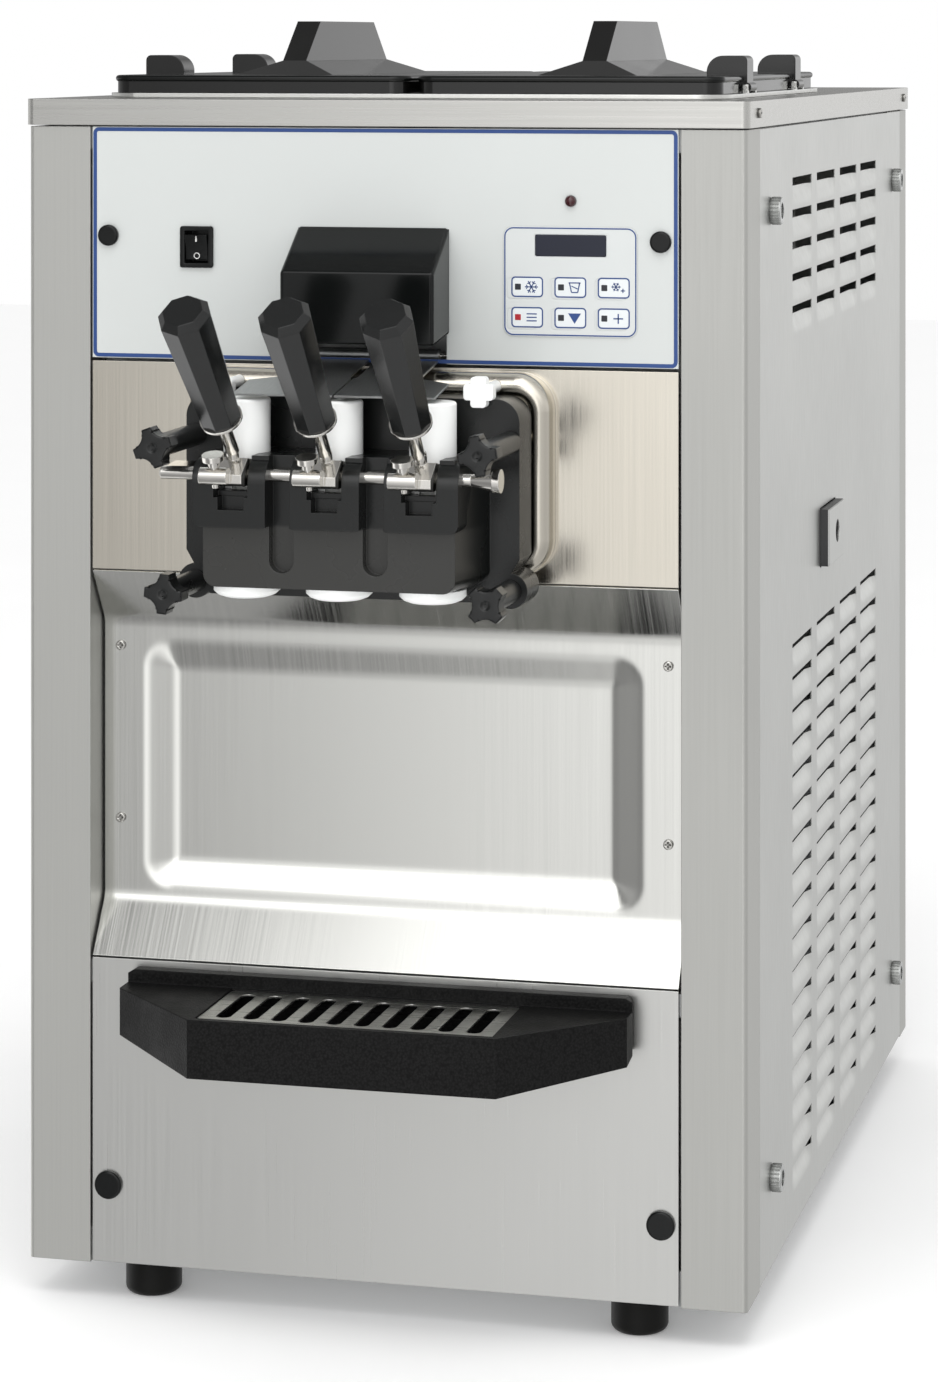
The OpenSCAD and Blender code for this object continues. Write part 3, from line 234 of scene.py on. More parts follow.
M = {
    "post": steel("steel_posts", (0.605, 0.605, 0.58), 0.5, stain=0.05),
    "side": steel("steel_side_sheet", (0.665, 0.67, 0.65), 0.36, grain=(300, 300, 40), cloud_at=7,
                  stain=0.06),
    "cover": steel("steel_cover", (0.62, 0.615, 0.59), 0.28, grain=(6, 700, 700)),
    "front": steel("steel_front_sheet", (0.68, 0.68, 0.66), 0.32, stain=0.05),
    "splash": steel("steel_splash", (0.74, 0.74, 0.71), 0.17, grain=(900, 5, 5), stain=0.03, bump=0.012),
    "warm": steel("steel_dispenser_plate", (0.705, 0.665, 0.585), 0.2, stain=0.04, bump=0.025),
    "dull": steel("steel_flaps", (0.42, 0.43, 0.43), 0.35, grain=(500, 8, 500)),
    "inner": steel("galvanised_frame", (0.45, 0.46, 0.46), 0.45, grain=(60, 60, 60), stain=0.2),
    "bright": steel("turned_steel", (0.80, 0.78, 0.74), 0.16, grain=(40, 40, 40), stain=0.08, bump=0.02),
    "pan": steel("polished_pans", (0.74, 0.74, 0.72), 0.2, grain=(30, 30, 30), stain=0.05),
    "grid": steel("steel_grid", (0.66, 0.66, 0.63), 0.3, grain=(8, 700, 700)),
    "zinc": zinc_painted_shade("zinc_thumb_screws_painted_shade", (0.55, 0.56, 0.55), 0.2),
    "screw": zinc_painted_shade("zinc_screws_painted_shade", (0.58, 0.57, 0.54), 0.2),
    "white_panel": paint("panel_white", (0.53, 0.55, 0.54), 0.24, coat=0.2),
    "blue_ink": paint("ink_blue", (0.014, 0.05, 0.19), 0.3),
    "dark_ink": paint("ink_dark", (0.012, 0.014, 0.02), 0.3),
    "red_ink": paint("ink_red", (0.36, 0.012, 0.02), 0.3),
    "film": paint("keypad_film", (0.56, 0.58, 0.575), 0.3),
    "key": paint("keypad_key", (0.66, 0.69, 0.70), 0.28),
    "display": plastic("display_window", (0.003, 0.005, 0.016), 0.12, 40, 0.0, wear=0.002, specular=0.4),
    "led": plastic("lamp_red", (0.035, 0.002, 0.004), 0.12, 60, 0.0, coat=0.5, wear=0.004),
    "switch": plastic("switch_black", (0.0025, 0.003, 0.003), 0.22, 300, 0.04, wear=0.002, specular=0.3),
    "mark": paint("mark_white", (0.72, 0.72, 0.70), 0.5),
    "hood": plastic("hood_black", (0.0022, 0.0028, 0.0027), 0.13, 90, 0.02, wear=0.001, specular=0.32),
    "lid": plastic("lid_gloss_black", (0.003, 0.003, 0.0028), 0.10, 60, 0.010, wear=0.002),
    # the second grey is the painted sheen on the door's lower front
    "door": door_plastic("door_black", (0.0035, 0.0042, 0.004), (0.026, 0.026, 0.024), 0.27, TABS_LOW),
    "grip": plastic("grip_black", (0.006, 0.0065, 0.0065), 0.16, 300, 0.03, wear=0.003),
    "knob": plastic("knob_black", (0.005, 0.0055, 0.0055), 0.3, 400, 0.06, wear=0.003),
    "tray": leather_grain("tray_grained_black", (0.0035, 0.0035, 0.0035), 0.45),
    "rubber": plastic("rubber_black", (0.004, 0.004, 0.0035), 0.5, 500, 0.2, wear=0.003, specular=0.15),
    "white": plastic("acetal_white", (0.90, 0.91, 0.90), 0.32, 200, 0.02, wear=0.03),
    "silicone": plastic("silicone_white", (0.72, 0.72, 0.68), 0.5, 200, 0.05),
    "motor": paint("motor_grey_paint", (0.09, 0.10, 0.11), 0.4),
    "compressor": paint("compressor_black_paint", (0.012, 0.012, 0.013), 0.3, coat=0.2),
    "fin": steel("aluminium_fins", (0.62, 0.63, 0.64), 0.4, grain=(4, 900, 900), stain=0.15),
    "fan": plastic("fan_black", (0.012, 0.012, 0.012), 0.4),
    "board": plastic("controller_case", (0.016, 0.016, 0.017), 0.4),
}


WELD_AT = 0.00002
SHARP_FROM = 28  # degrees between faces that count as an edge


def dress(material, bevel, *names, segments=2):
    """Gives CAD nodes their material and, with modifiers only, edges softened by bevel millimetres."""
    for name in names:
        o = NODES[name]
        for s in o.material_slots:
            s.material = M[material]
        if not bevel:
            continue
        weld = o.modifiers.new("weld", "WELD")
        weld.merge_threshold = WELD_AT
        edge = o.modifiers.new("edge", "BEVEL")
        edge.width = bevel / 1000
        edge.segments = segments
        edge.limit_method = "ANGLE"
        edge.angle_limit = math.radians(SHARP_FROM)
        edge.use_clamp_overlap = False
        even = o.modifiers.new("even", "WEIGHTED_NORMAL")
        even.mode = "FACE_AREA"
        even.weight = 60


dress("post", 0, "corner_posts")
dress("inner", 0, "cabinet_frame")
dress("side", 0, "rear_panel")
dress("cover", 0, "top_cover")
dress("white_panel", 0, "control_panel")
dress("warm", 0, "dispenser_plate")
dress("front", 0, "lower_front_panel")
dress("tray", 0, "drip_tray")
dress("grid", 0, "drip_grid")
dress("rubber", 1.2, "feet")
dress("rubber", 0, "power_cord")
dress("switch", 0.5, "panel_plugs", "switch_bezel", "switch_rocker")
dress("screw", 0.25, "panel_screws")
dress("zinc", 0, "thumb_screws")
dress("film", 0, "keypad_overlay")
dress("board", 0.5, "controller")
dress("hood", 2.2, "switch_hood", segments=3)
dress("bright", 0, "flap_rod", "pivot_pin")
dress("dull", 0.3, "flap_left", "flap_right")
dress("door", 0, "door_body")
dress("silicone", 0, "door_gaskets", "mix_tubes")
for level in ("upper", "lower"):
    dress("knob", 1.0, *(f"door_knob_{level}_{side}" for side in SIDES), segments=3)
for station in STATIONS:
    dress("bright", 0, f"lever_{station}", f"adjust_screw_{station}")
    dress("grip", 0, f"grip_{station}")
    dress("white", 0, f"valve_{station}")
dress("white", 0, "nozzle_caps", "bleed_plug_left", "bleed_plug_right", "beater_left", "beater_right")
dress("pan", 0, "hopper_pans", "freezing_cylinders")
dress("lid", 0, "lid_left", "lid_right")
dress("motor", 0.6, "gear_motors", "fan_motor")
dress("compressor", 0.8, "compressor")
dress("fin", 0, "condenser")
dress("fan", 0, "fan_blade")
dress("board", 0, "leak_drawer")

# ---------------------------------------------------------------- mesh helpers


def add_piece(name, mesh, material, body, smooth):
    """A visual piece riding on a body; faces meeting below smooth degrees are shaded as one."""
    o = bpy.data.objects.new(name, mesh)
    SCENE.collection.objects.link(o)
    o.data.materials.append(M[material])
    if smooth:
        for p in mesh.polygons:
            p.use_smooth = True
        mesh.set_sharp_from_angle(angle=math.radians(smooth))
    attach(o, body)
    return o


def to_mesh(bm, name):
    mesh = bpy.data.meshes.new(name)
    bm.to_mesh(mesh)
    bm.free()
    return mesh


def finish_piece(bm, name, material, body, smooth):
    return add_piece(name, to_mesh(bm, name), material, body, smooth)


def grid_mesh(name, us, vs, point, keep=lambda u, v: True):
    """Quads over a net of parameters; keep(u, v) at a face's middle says if the face is there."""
    bm = bmesh.new()
    rows = [[bm.verts.new(point(u, v)) for u in us] for v in vs]
    for j in range(len(vs) - 1):
        for i in range(len(us) - 1):
            if keep((us[i] + us[i + 1]) / 2, (vs[j] + vs[j + 1]) / 2):
                bm.faces.new((rows[j][i], rows[j][i + 1], rows[j + 1][i + 1], rows[j + 1][i]))
    loose = [v for v in bm.verts if not v.link_faces]
    bmesh.ops.delete(bm, geom=loose, context="VERTS")
    return to_mesh(bm, name)


def thicken(o, gauge, offset):
    """Gives a folded surface the thickness of its sheet, in millimetres, with crisp rims."""
    mod = o.modifiers.new("sheet", "SOLIDIFY")
    mod.thickness = gauge / 1000
    mod.offset = offset
    mod.use_even_offset = False
    edges = o.modifiers.new("corners", "EDGE_SPLIT")
    edges.split_angle = math.radians(35)


def smoothstep(t):
    t = max(0.0, min(1.0, t))
    return t * t * (3 - 2 * t)


def spread(a, b, n):
    """n even steps from a to b."""
    return [a + (b - a) * i / n for i in range(n + 1)]


def rounded_loop(w, h, r, n=8):
    """Corner points of a rounded rectangle about the origin, anticlockwise."""
    out = []
    for cx, cz, a0 in ((1, 1, 0), (-1, 1, 90), (-1, -1, 180), (1, -1, 270)):
        for i in range(n + 1):
            a = math.radians(a0 + 90 * i / n)
            out.append((cx * (w / 2 - r) + r * math.cos(a), cz * (h / 2 - r) + r * math.sin(a)))
    return out


def ribbon(name, loop_out, loop_in, centre, y, proud, material):
    """A flat printed band between two loops, standing proud of the panel by a film's thickness."""
    bm = bmesh.new()
    rings = []
    for loop, lift in ((loop_out, 0), (loop_out, proud), (loop_in, proud), (loop_in, 0)):
        rings.append([bm.verts.new(at(centre[0] + x, y - lift, centre[1] + z)) for x, z in loop])
    n = len(loop_out)
    for a, b in ((0, 1), (1, 2), (2, 3)):
        for i in range(n):
            k = (i + 1) % n
            bm.faces.new((rings[a][i], rings[b][i], rings[b][k], rings[a][k]))
    finish_piece(bm, name, material, "cabinet", smooth=0)


def plaque(name, loop, centre, y, proud, material):
    """A thin printed or moulded patch with a chamfered edge, facing the front."""
    bm = bmesh.new()
    chamfer = 0.25
    inner = [(x * (1 - chamfer / max(abs(x), 1)), z * (1 - chamfer / max(abs(z), 1))) for x, z in loop]
    base = [bm.verts.new(at(centre[0] + x, y, centre[1] + z)) for x, z in loop]
    top = [bm.verts.new(at(centre[0] + x, y - proud, centre[1] + z)) for x, z in inner]
    n = len(loop)
    for i in range(n):
        k = (i + 1) % n
        bm.faces.new((base[i], top[i], top[k], base[k]))
    bm.faces.new(top[::-1])
    bmesh.ops.recalc_face_normals(bm, faces=bm.faces)
    finish_piece(bm, name, material, "cabinet", smooth=0)


def lathe(name, outline, centre, material, body, steps=32):
    """Turns (radius, y) points about a line along Y through centre."""
    bm = bmesh.new()
    rings = []
    for r, y in outline:
        rings.append([bm.verts.new(at(centre[0] + r * math.cos(a), y, centre[1] + r * math.sin(a)))
                      for a in (2 * math.pi * i / steps for i in range(steps))])
    for a, b in zip(rings, rings[1:]):
        for i in range(steps):
            k = (i + 1) % steps
            bm.faces.new((a[i], b[i], b[k], a[k]))
    bmesh.ops.remove_doubles(bm, verts=bm.verts, dist=1e-6)
    bmesh.ops.recalc_face_normals(bm, faces=bm.faces)
    finish_piece(bm, name, material, body, smooth=50)


# ---------------------------------------------------------------- splash panel

SPLASH_GAUGE = 1.5
BEND_R = 5.0
SAMPLE = 2.2  # mm between the points along a straight part
FOLD = [(0.0, 491.0), (25.0, 453.0), (25.0, 256.0), (0.0, 218.0)]  # (y, z) from the top down
FLAT_LOW, FLAT_HIGH = 258, 451  # the upright part that carries the pressed field


def folded_profile(points, r, arc=6):
    """Samples of a folded sheet's line, with its bends rounded."""
    out = [points[0]]
    for a, b, c in zip(points, points[1:], points[2:]):
        u = (Vector(a) - Vector(b)).normalized()
        w = (Vector(c) - Vector(b)).normalized()
        start, end = Vector(b) + u * r, Vector(b) + w * r
        prev = Vector(out[-1])
        n = max(1, int((start - prev).length / SAMPLE))
        out += [tuple(prev.lerp(start, i / n)) for i in range(1, n + 1)]
        for i in range(1, arc + 1):
            t = i / arc
            out.append(tuple(start.lerp(Vector(b), t).lerp(Vector(b).lerp(end, t), t)))
    prev, last = Vector(out[-1]), Vector(points[-1])
    n = int((last - prev).length / SAMPLE)
    out += [tuple(prev.lerp(last, i / n)) for i in range(1, n + 1)]
    return out


def pressed(x, z):
    """Depth of the pressed field: flat-sided slopes with rolled edges, inside a rounded rectangle."""
    half_w, half_h, r, slope, deep = 180.0, 87.5, 19.0, 19.0, 7.0
    middle_z = 350.5
    qx, qz = abs(x) - (half_w - r), abs(z - middle_z) - (half_h - r)
    outside = math.hypot(max(qx, 0), max(qz, 0)) + min(max(qx, qz), 0) - r
    t = -outside / slope
    k = 0.16  # share of the slope taken by each rolled edge
    if t <= -k:
        return 0.0
    if t < k:
        f = (t + k) ** 2 / (4 * k)
    elif t < 1 - k:
        f = t
    elif t < 1 + k:
        f = 1 - (1 + k - t) ** 2 / (4 * k)
    else:
        f = 1.0
    return deep * f


profile_line = folded_profile(FOLD, BEND_R)


def splash_point(x, i):
    y, z = profile_line[int(i)]
    return at(x, y + (pressed(x, z) if FLAT_LOW < z < FLAT_HIGH else 0.0), z)


low, high = cabinet_box("splash_panel")
mesh = grid_mesh("splash_sheet", spread(-high.x, high.x, 212), list(range(len(profile_line))),
                 splash_point)
splash = add_piece("splash_sheet", mesh, "splash", "cabinet", smooth=60)
thicken(splash, SPLASH_GAUGE, offset=1)
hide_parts("splash_panel")

# ---------------------------------------------------------------- louvred side sheets

SIDE_X = 260
SIDE_GAUGE = 1.2
SLOT_Y = (179, 286, 395, 499)
SLOT_LEN = 84
# low edge and height of each row of slots
ROWS = [(666.9 + 23.4 * i, 6.6) for i in range(5)] + [(40.3 + 23.8 * i, 6.2) for i in range(17)]
DENT_H = 13.5
DENT_D = 3.7
GUARD = 0.5  # extra lines beside the slots and dents keep their rims crisp
DRAWER_HOLE = ((300.4, 373.6), (466.4, 511.6))


def side_sheet(name, side, node, hole):
    """Side panel with a dent pressed inwards below each slot; hole is a (y, z) window or None."""
    low, high = cabinet_box(node)
    us = {low.y, high.y}
    for y in SLOT_Y:
        us.update(spread(y, y + SLOT_LEN, 14) + [y - GUARD, y + SLOT_LEN + GUARD])
    vs = {low.z, high.z}
    for z, h in ROWS:
        vs.update(spread(z - DENT_H, z, 7) + [z - DENT_H - GUARD, z + h, z + h + GUARD])
    if hole:
        us.update(hole[0])
        vs.update(hole[1])
    us, vs = sorted(us), sorted(vs)

    def dent(y, z):
        for s in SLOT_Y:
            if s <= y <= s + SLOT_LEN:
                u = (y - s) / SLOT_LEN
                for top, _ in ROWS:
                    if top - DENT_H <= z <= top + 0.01:
                        w = (top - z) / DENT_H
                        edge = smoothstep(u / 0.13) * smoothstep((1 - u) / 0.13)
                        return DENT_D * edge * (1 - smoothstep(w))
        return 0.0

    def keep(y, z):
        if hole and hole[0][0] < y < hole[0][1] and hole[1][0] < z < hole[1][1]:
            return False
        in_slot = any(s < y < s + SLOT_LEN for s in SLOT_Y)
        return not (in_slot and any(top < z < top + h for top, h in ROWS))

    mesh = grid_mesh(name, us, vs, lambda y, z: at(side * (SIDE_X - dent(y, z)), y, z), keep)
    o = add_piece(name, mesh, "side", "cabinet", smooth=40)
    thicken(o, SIDE_GAUGE, offset=-side)
    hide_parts(node)


side_sheet("side_sheet_right", 1, "side_panel_right", DRAWER_HOLE)
side_sheet("side_sheet_left", -1, "side_panel_left", None)

# ---------------------------------------------------------------- rolled lips of the hopper lids


LID_X, LID_Y, LID_W, LID_L, LID_R = 115, 274.5, 222, 391, 12
LIP_Z = 839.4
LIP_R = 2.4
LIP_INSET = 0.8
LIP_STEPS = 12


def lip(side, label):
    """Round bead along the top of a lid's skirt."""
    loop = rounded_loop(LID_W - 2 * LIP_INSET, LID_L - 2 * LIP_INSET, LID_R - LIP_INSET)
    bm = bmesh.new()
    rings = []
    for i, (x, y) in enumerate(loop):
        (x0, y0), (x1, y1) = loop[i - 1], loop[(i + 1) % len(loop)]
        out = Vector((y1 - y0, x0 - x1)).normalized()
        rings.append([bm.verts.new(at(LID_X * side + x + out.x * LIP_R * math.cos(a),
                                      LID_Y + y + out.y * LIP_R * math.cos(a),
                                      LIP_Z + LIP_R * math.sin(a)))
                      for a in (2 * math.pi * k / LIP_STEPS for k in range(LIP_STEPS))])
    for i in range(len(rings)):
        a, b = rings[i - 1], rings[i]
        for k in range(LIP_STEPS):
            m = (k + 1) % LIP_STEPS
            bm.faces.new((a[k], b[k], b[m], a[m]))
    bmesh.ops.recalc_face_normals(bm, faces=bm.faces)
    finish_piece(bm, f"lid_{label}_lip", "hood", f"hopper_lid_{label}", smooth=60)


lip(-1, "left")
lip(1, "right")

# ---------------------------------------------------------------- control panel print

INK = 0.12  # mm of printed film
BORDER_INSET, BORDER_WIDE, BORDER_R = 0.5, 2.7, 4.2
DISPLAY = (136.5, 725.7)
KEY_X = (105.8, 136.4, 167.0)
KEY_Z = (697.0, 676.0)
RED_LAMP = "10"

low, high = cabinet_box("control_panel")
panel_w, panel_h = high.x - low.x, high.z - low.z
inner = BORDER_INSET + BORDER_WIDE
ribbon("panel_border", rounded_loop(panel_w - 2 * BORDER_INSET, panel_h - 2 * BORDER_INSET, BORDER_R),
       rounded_loop(panel_w - 2 * inner, panel_h - 2 * inner, BORDER_R - BORDER_WIDE),
       (0.0, (low.z + high.z) / 2), 0.0, INK, "blue_ink")

low, high = cabinet_box("keypad_overlay")
pad_w, pad_h = high.x - low.x, high.z - low.z
face = low.y
ribbon("keypad_border", rounded_loop(pad_w - 1.2, pad_h - 1.2, 6.4),
       rounded_loop(pad_w - 3.0, pad_h - 3.0, 5.5),
       ((low.x + high.x) / 2, (low.z + high.z) / 2), face, 0.1, "blue_ink")
plaque("display_window", rounded_loop(50.4, 15.0, 1.2), DISPLAY, -0.55, 0.2, "display")
for row, z in enumerate(KEY_Z):
    for col, x in enumerate(KEY_X):
        tag = f"{row}{col}"
        ribbon(f"key_outline_{tag}", rounded_loop(22.6, 14.2, 2.8), rounded_loop(20.8, 12.4, 2.0), (x, z),
               face, INK, "blue_ink")
        plaque(f"key_cap_{tag}", rounded_loop(20.6, 12.2, 1.9), (x, z), face, 0.1, "key")
        plaque(f"key_lamp_{tag}", rounded_loop(4.4, 4.4, 0.4), (x - 6.6, z), face, 0.25,
               "red_ink" if tag == RED_LAMP else "dark_ink")


def bars(name, strokes, centre):
    """Key icon drawn with straight strokes: (x0, z0, x1, z1, width)."""
    bm = bmesh.new()
    low_y, high_y = face - 0.1, face - 0.2
    for x0, z0, x1, z1, w in strokes:
        d = Vector((x1 - x0, z1 - z0)).normalized() * (w / 2)
        nx, nz = -d.y, d.x
        quad = [(x0 + nx, z0 + nz), (x1 + nx, z1 + nz), (x1 - nx, z1 - nz), (x0 - nx, z0 - nz)]
        front = [bm.verts.new(at(centre[0] + x, high_y, centre[1] + z)) for x, z in quad]
        back = [bm.verts.new(at(centre[0] + x, low_y, centre[1] + z)) for x, z in quad]
        bm.faces.new(front)
        for i in range(4):
            k = (i + 1) % 4
            bm.faces.new((front[i], front[k], back[k], back[i]))
    bmesh.ops.recalc_face_normals(bm, faces=bm.faces)
    finish_piece(bm, name, "blue_ink", "cabinet", smooth=0)


def star(n, r, w, twig=0.0):
    """Strokes of n crossing bars of half-length r, with small twigs near their ends."""
    out = []
    for i in range(n):
        a = math.pi * i / n
        c, s = math.cos(a), math.sin(a)
        out.append((-r * c, -r * s, r * c, r * s, w))
        if twig:
            for sign in (1, -1):
                for t in (-1, 1):
                    bx, bz = sign * r * 0.6 * c, sign * r * 0.6 * s
                    b = a + t * math.pi / 3
                    tip = (bx + sign * twig * math.cos(b), bz + sign * twig * math.sin(b))
                    out.append((bx, bz, *tip, w * 0.8))
    return out


bars("icon_snow", star(3, 4.6, 0.75, 1.7), (KEY_X[0] + 3.0, KEY_Z[0]))
bars("icon_wash", [(-3.6, 3.2, -2.2, -3.4, 0.8), (3.6, 3.2, 2.2, -3.4, 0.8), (-2.2, -3.4, 2.2, -3.4, 0.8),
                   (-4.2, 3.2, 4.2, 3.2, 0.8), (-2.2, 1.0, 2.2, -1.0, 0.7)],
     (KEY_X[1] + 3.0, KEY_Z[0]))
plus = [(3.4, -2.6, 6.4, -2.6, 0.7), (4.9, -4.1, 4.9, -1.1, 0.7)]
bars("icon_snow_plus", star(3, 3.2, 0.65, 1.1) + plus, (KEY_X[2] + 1.6, KEY_Z[0] + 0.8))
bars("icon_list", [(-3.6, z, 3.6, z, 0.8) for z in (-2.4, 0.0, 2.4)], (KEY_X[0] + 3.2, KEY_Z[1]))
plaque("icon_down", [(4.6, 3.2), (0, -4.0), (-4.6, 3.2)], (KEY_X[1] + 3.0, KEY_Z[1]), face - 0.1, 0.1,
       "blue_ink")
bars("icon_target", star(2, 3.4, 0.9), (KEY_X[2] + 3.2, KEY_Z[1]))

# marks on the rocker, laid on its sloped faces
rocker = NODES["switch_rocker"]
rocker_low, rocker_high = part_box("switch_rocker")
rocker_x, rocker_z = (rocker_low.x + rocker_high.x) / 2, (rocker_low.z + rocker_high.z) / 2


def on_rocker(x, z):
    """Point just in front of the rocker's face, x and z in millimetres from its middle."""
    start = Vector((rocker_x + x / 1000, rocker_low.y - 0.02, rocker_z + z / 1000))
    place = rocker.ray_cast(start, Vector((0, 1, 0)))[1]
    return place - Vector((0, 0.0001, 0))


def rocker_mark(name, outer, inner):
    bm = bmesh.new()
    a = [bm.verts.new(on_rocker(x, z)) for x, z in outer]
    b = [bm.verts.new(on_rocker(x, z)) for x, z in inner]
    for i in range(len(a)):
        k = (i + 1) % len(a)
        bm.faces.new((a[i], a[k], b[k], b[i]))
    finish_piece(bm, name, "mark", "rocker", smooth=0)


def ring_points(r, z, n=24):
    """Circle of radius r about the rocker's point (0, z)."""
    return [(r * math.cos(2 * math.pi * i / n), z + r * math.sin(2 * math.pi * i / n)) for i in range(n)]


rocker_mark("mark_off", ring_points(2.3, -6), ring_points(1.7, -6))
rocker_mark("mark_on", [(-0.6, 4.0), (0.6, 4.0), (0.6, 8.0), (-0.6, 8.0)],
            [(-0.05, 4.2), (0.05, 4.2), (0.05, 7.8), (-0.05, 7.8)])
lathe("alarm_lens", [(3.85, -1.5), (3.75, -2.2), (3.2, -3.1), (2.2, -3.7), (1.0, -4.0), (0.0001, -4.05)],
      (136.5, 756.4), "led", "cabinet")

# steel face on the black moulded drawer front, with its finger hole
FACE_GAUGE = 1.2
FINGER_Y, FINGER_Z, FINGER_R = 340, 490, 8.75
low, high = cabinet_box("leak_drawer")
face_y, face_z = (low.y + high.y) / 2, (low.z + high.z) / 2
half_y, half_z = (high.y - low.y) / 2 - 0.3, (high.z - low.z) / 2 - 0.3
full = 2 * math.pi
turns = sorted([full * i / 48 for i in range(48)]
               + [math.atan2(sz * half_z, sy * half_y) % full for sy in (-1, 1) for sz in (-1, 1)])
bm = bmesh.new()
rings = []
for out, shrink in ((0.0, 0.0), (FACE_GAUGE, 0.4)):
    ring = []
    for a in turns:
        c, s = math.cos(a), math.sin(a)
        reach = min((half_y - shrink) / max(abs(c), 1e-6), (half_z - shrink) / max(abs(s), 1e-6))
        ring.append(bm.verts.new(at(high.x + out, face_y + reach * c, face_z + reach * s)))
    rings.append(ring)
for out in (FACE_GAUGE, 0.0):
    rings.append([bm.verts.new(at(high.x + out, FINGER_Y + FINGER_R * math.cos(a),
                                  FINGER_Z + FINGER_R * math.sin(a))) for a in turns])
for a, b in zip(rings, rings[1:]):
    for i in range(len(turns)):
        k = (i + 1) % len(turns)
        bm.faces.new((a[i], a[k], b[k], b[i]))
bmesh.ops.recalc_face_normals(bm, faces=bm.faces)
finish_piece(bm, "drawer_face", "side", "drawer", smooth=0)

# ---------------------------------------------------------------- camera and light

CAMERA_PLACE = (0.7252, -2.7937, 0.8944)
CAMERA_TURN = 13.163  # degrees
CAMERA_LENS = 96.78
SHIFTS = (("shift_x", -0.0803), ("shift_y", -0.4711))

camera_data = bpy.data.cameras.new("camera")
camera = bpy.data.objects.new("camera", camera_data)
SCENE.collection.objects.link(camera)
camera_data.lens = CAMERA_LENS
camera_data.sensor_width = 36
camera.location = CAMERA_PLACE
camera.rotation_euler = (math.radians(90), 0, math.radians(CAMERA_TURN))
camera_data.clip_end = 40
SCENE.camera = camera
# the lens shift belongs to the main view only: it drops out when the camera is moved
for path, value in SHIFTS:
    driver = camera_data.driver_add(path).driver
    driver.type = "SCRIPTED"
    var = driver.variables.new()
    var.name = "x"
    var.type = "TRANSFORMS"
    var.targets[0].id = camera
    var.targets[0].transform_type = "LOC_X"
    var.targets[0].transform_space = "WORLD_SPACE"
    driver.expression = f"{value} if abs(x - {CAMERA_PLACE[0]}) < 0.0005 else 0.0"

SCENE.view_settings.view_transform = "Standard"

world = bpy.data.worlds.new("studio")
SCENE.world = world
world.use_nodes = True
tree = world.node_tree
tree.nodes.clear()


def ramp(value, stops):
    node = tree.nodes.new("ShaderNodeValToRGB")
    band = node.color_ramp
    while len(band.elements) > 1:
        band.elements.remove(band.elements[0])
    band.elements[0].position = stops[0][0]
    band.elements[0].color = (stops[0][1],) * 3 + (1,)
    for p, c in stops[1:]:
        band.elements.new(p).color = (c, c, c, 1)
    band.interpolation = "EASE"
    tree.links.new(value, node.inputs["Fac"])
    return node.outputs["Color"]


def math_node(op, a, b=None):
    node = tree.nodes.new("ShaderNodeMath")
    node.operation = op
    for socket, value in zip(node.inputs, (a, b)):
        if value is None:
            continue
        if isinstance(value, (int, float)):
            socket.default_value = value
        else:
            tree.links.new(value, socket)
    return node.outputs[0]


source = tree.nodes.new("ShaderNodeTexCoord")
split = tree.nodes.new("ShaderNodeSeparateXYZ")
tree.links.new(source.outputs["Generated"], split.inputs[0])
X, Y, Z = split.outputs


def by_degrees(value, stops):
    """Soft curve over an angle in degrees: stops are (angle, brightness up to 4)."""
    first, last = stops[0][0], stops[-1][0]
    unit = math_node("MULTIPLY_ADD", value, 180 / math.pi / (last - first))
    unit.node.inputs[2].default_value = -first / (last - first)
    curve = ramp(unit, [((p - first) / (last - first), c / 4) for p, c in stops])
    return math_node("MULTIPLY", curve, 4.0)


# what polished surfaces mirror: a curve round the horizon, another overhead, and a glow at the left
turn = math_node("ARCTAN2", X, math_node("MULTIPLY", Y, -1.0))
rise = math_node("ARCSINE", Z)
low_ring = by_degrees(turn, [(-180, 0.30), (-164, 0.2), (-120, 0.35), (-60, 0.38), (-34, 0.32),
                             (-26, 0.32), (-21, 0.46), (-17, 0.80), (-12, 1.25), (-4, 1.4), (5, 1.2),
                             (20, 0.7), (60, 0.6), (120, 0.7), (150, 0.84), (170, 0.84), (180, 0.35)])
low_fade = by_degrees(rise, [(-90, 1.1), (-50, 0.9), (-20, 0.80), (-8, 0.93), (0, 1.2), (10, 1.35),
                             (90, 1.35)])
high_ring = by_degrees(turn, [(-180, 0.3), (-100, 0.25), (-45, 0.22), (-35, 0.2), (-30, 0.24),
                              (-25, 1.2), (-20, 2.4), (0, 2.3), (25, 1.6), (60, 0.8), (120, 0.6),
                              (180, 0.35)])
high_share = by_degrees(rise, [(-90, 0.0), (8, 0.0), (26, 1.0), (90, 1.0)])
glow_ring = by_degrees(turn, [(-180, 0), (-150, 0), (-125, 1.0), (-85, 1.0), (-60, 0), (180, 0)])
glow_band = by_degrees(rise, [(-90, 0.3), (-40, 1.0), (-10, 1.0), (4, 0), (90, 0)])
low_part = math_node("MULTIPLY", low_ring, low_fade)
high_part = math_node("MULTIPLY", math_node("SUBTRACT", high_ring, low_part), high_share)
glow_part = math_node("MULTIPLY", glow_ring, glow_band)
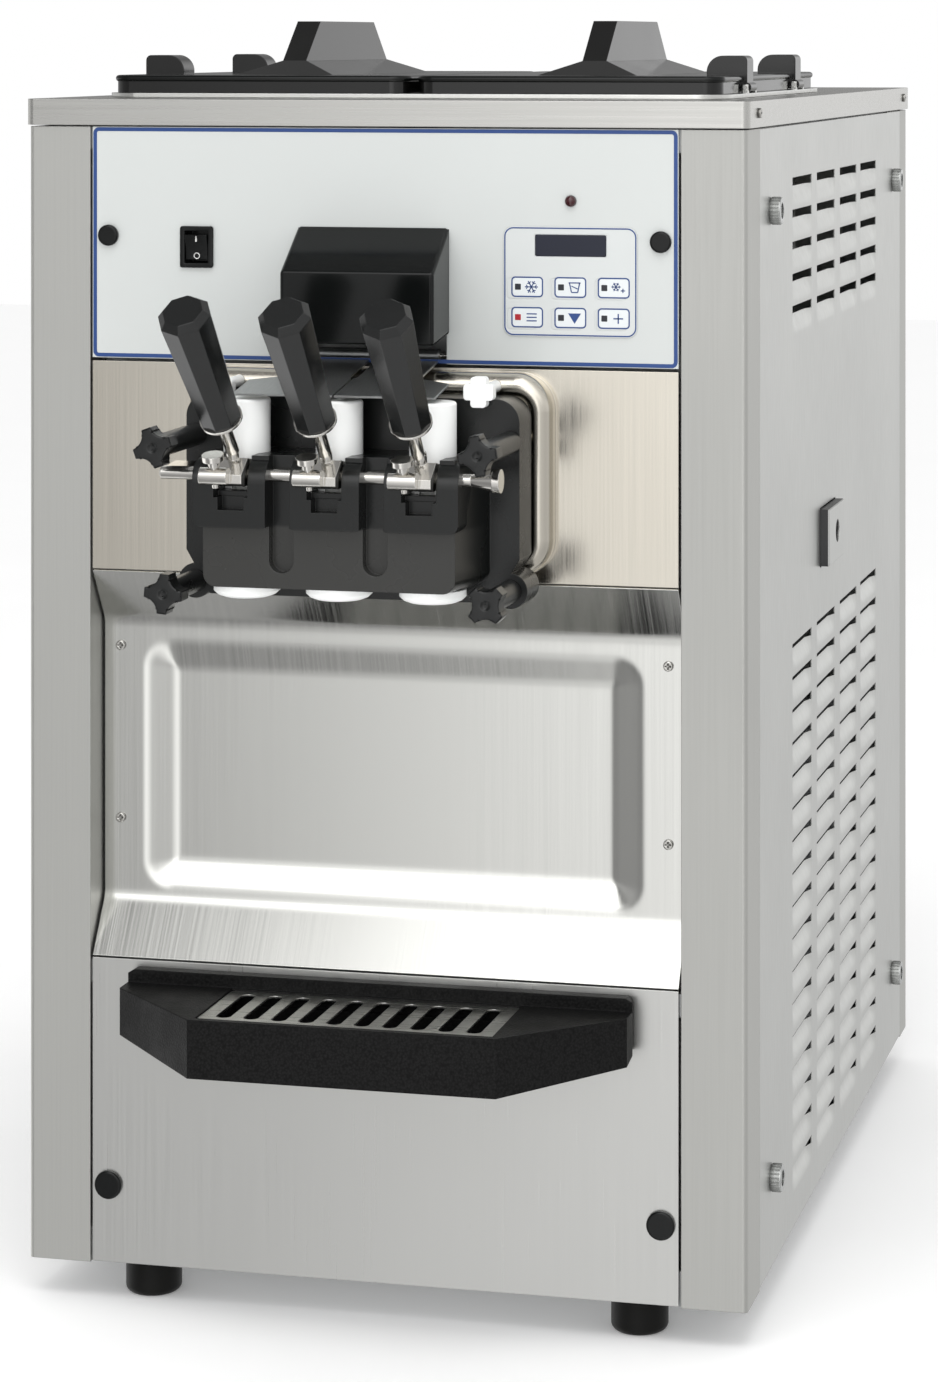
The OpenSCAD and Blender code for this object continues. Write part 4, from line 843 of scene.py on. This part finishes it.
studio = math_node("ADD", math_node("ADD", low_part, high_part), glow_part)


def backdrop(strength):
    """Even white background, as bright as the number or node output given."""
    node = tree.nodes.new("ShaderNodeBackground")
    node.inputs["Color"].default_value = (1, 1, 1, 1)
    if isinstance(strength, float):
        node.inputs["Strength"].default_value = strength
    else:
        tree.links.new(strength, node.inputs["Strength"])
    return node.outputs[0]


def choose(ray, others, chosen):
    """The chosen shader for one kind of ray, the other one for all others."""
    node = tree.nodes.new("ShaderNodeMixShader")
    for socket, output in zip(node.inputs, (ray, others, chosen)):
        tree.links.new(output, socket)
    return node.outputs[0]


rays = tree.nodes.new("ShaderNodeLightPath").outputs
lit = choose(rays["Is Glossy Ray"], backdrop(0.95), backdrop(studio))
end = tree.nodes.new("ShaderNodeOutputWorld")
tree.links.new(choose(rays["Is Camera Ray"], lit, backdrop(1.0)), end.inputs["Surface"])


def soft_box(name, place, target, size, watts):
    data = bpy.data.lights.new(name, "AREA")
    data.shape = "RECTANGLE"
    data.size, data.size_y = size
    data.energy = watts
    light = bpy.data.objects.new(name, data)
    SCENE.collection.objects.link(light)
    light.location = place
    aim = Vector(target) - Vector(place)
    light.rotation_euler = aim.to_track_quat("-Z", "Y").to_euler()
    light.visible_glossy = False


soft_box("overhead", (0.3, -1.6, 2.9), (0.0, -0.2, 0.4), (1.8, 1.4), 30)
soft_box("fill", (0.4, -3.3, 0.9), (0.0, -0.3, 0.6), (1.2, 1.2), 22)

bm = bmesh.new()
bmesh.ops.create_grid(bm, x_segments=1, y_segments=1, size=9)
floor = bpy.data.objects.new("floor", to_mesh(bm, "floor"))
SCENE.collection.objects.link(floor)
M["floor"] = paint("floor_paint", (0.93, 0.93, 0.93), 0.7)
floor.data.materials.append(M["floor"])
glow = M["floor"].node_tree.nodes["Principled BSDF"]
glow.inputs["Emission Color"].default_value = (1, 1, 1, 1)
glow.inputs["Emission Strength"].default_value = 0.12
floor.visible_glossy = False
floor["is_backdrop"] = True

low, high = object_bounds()
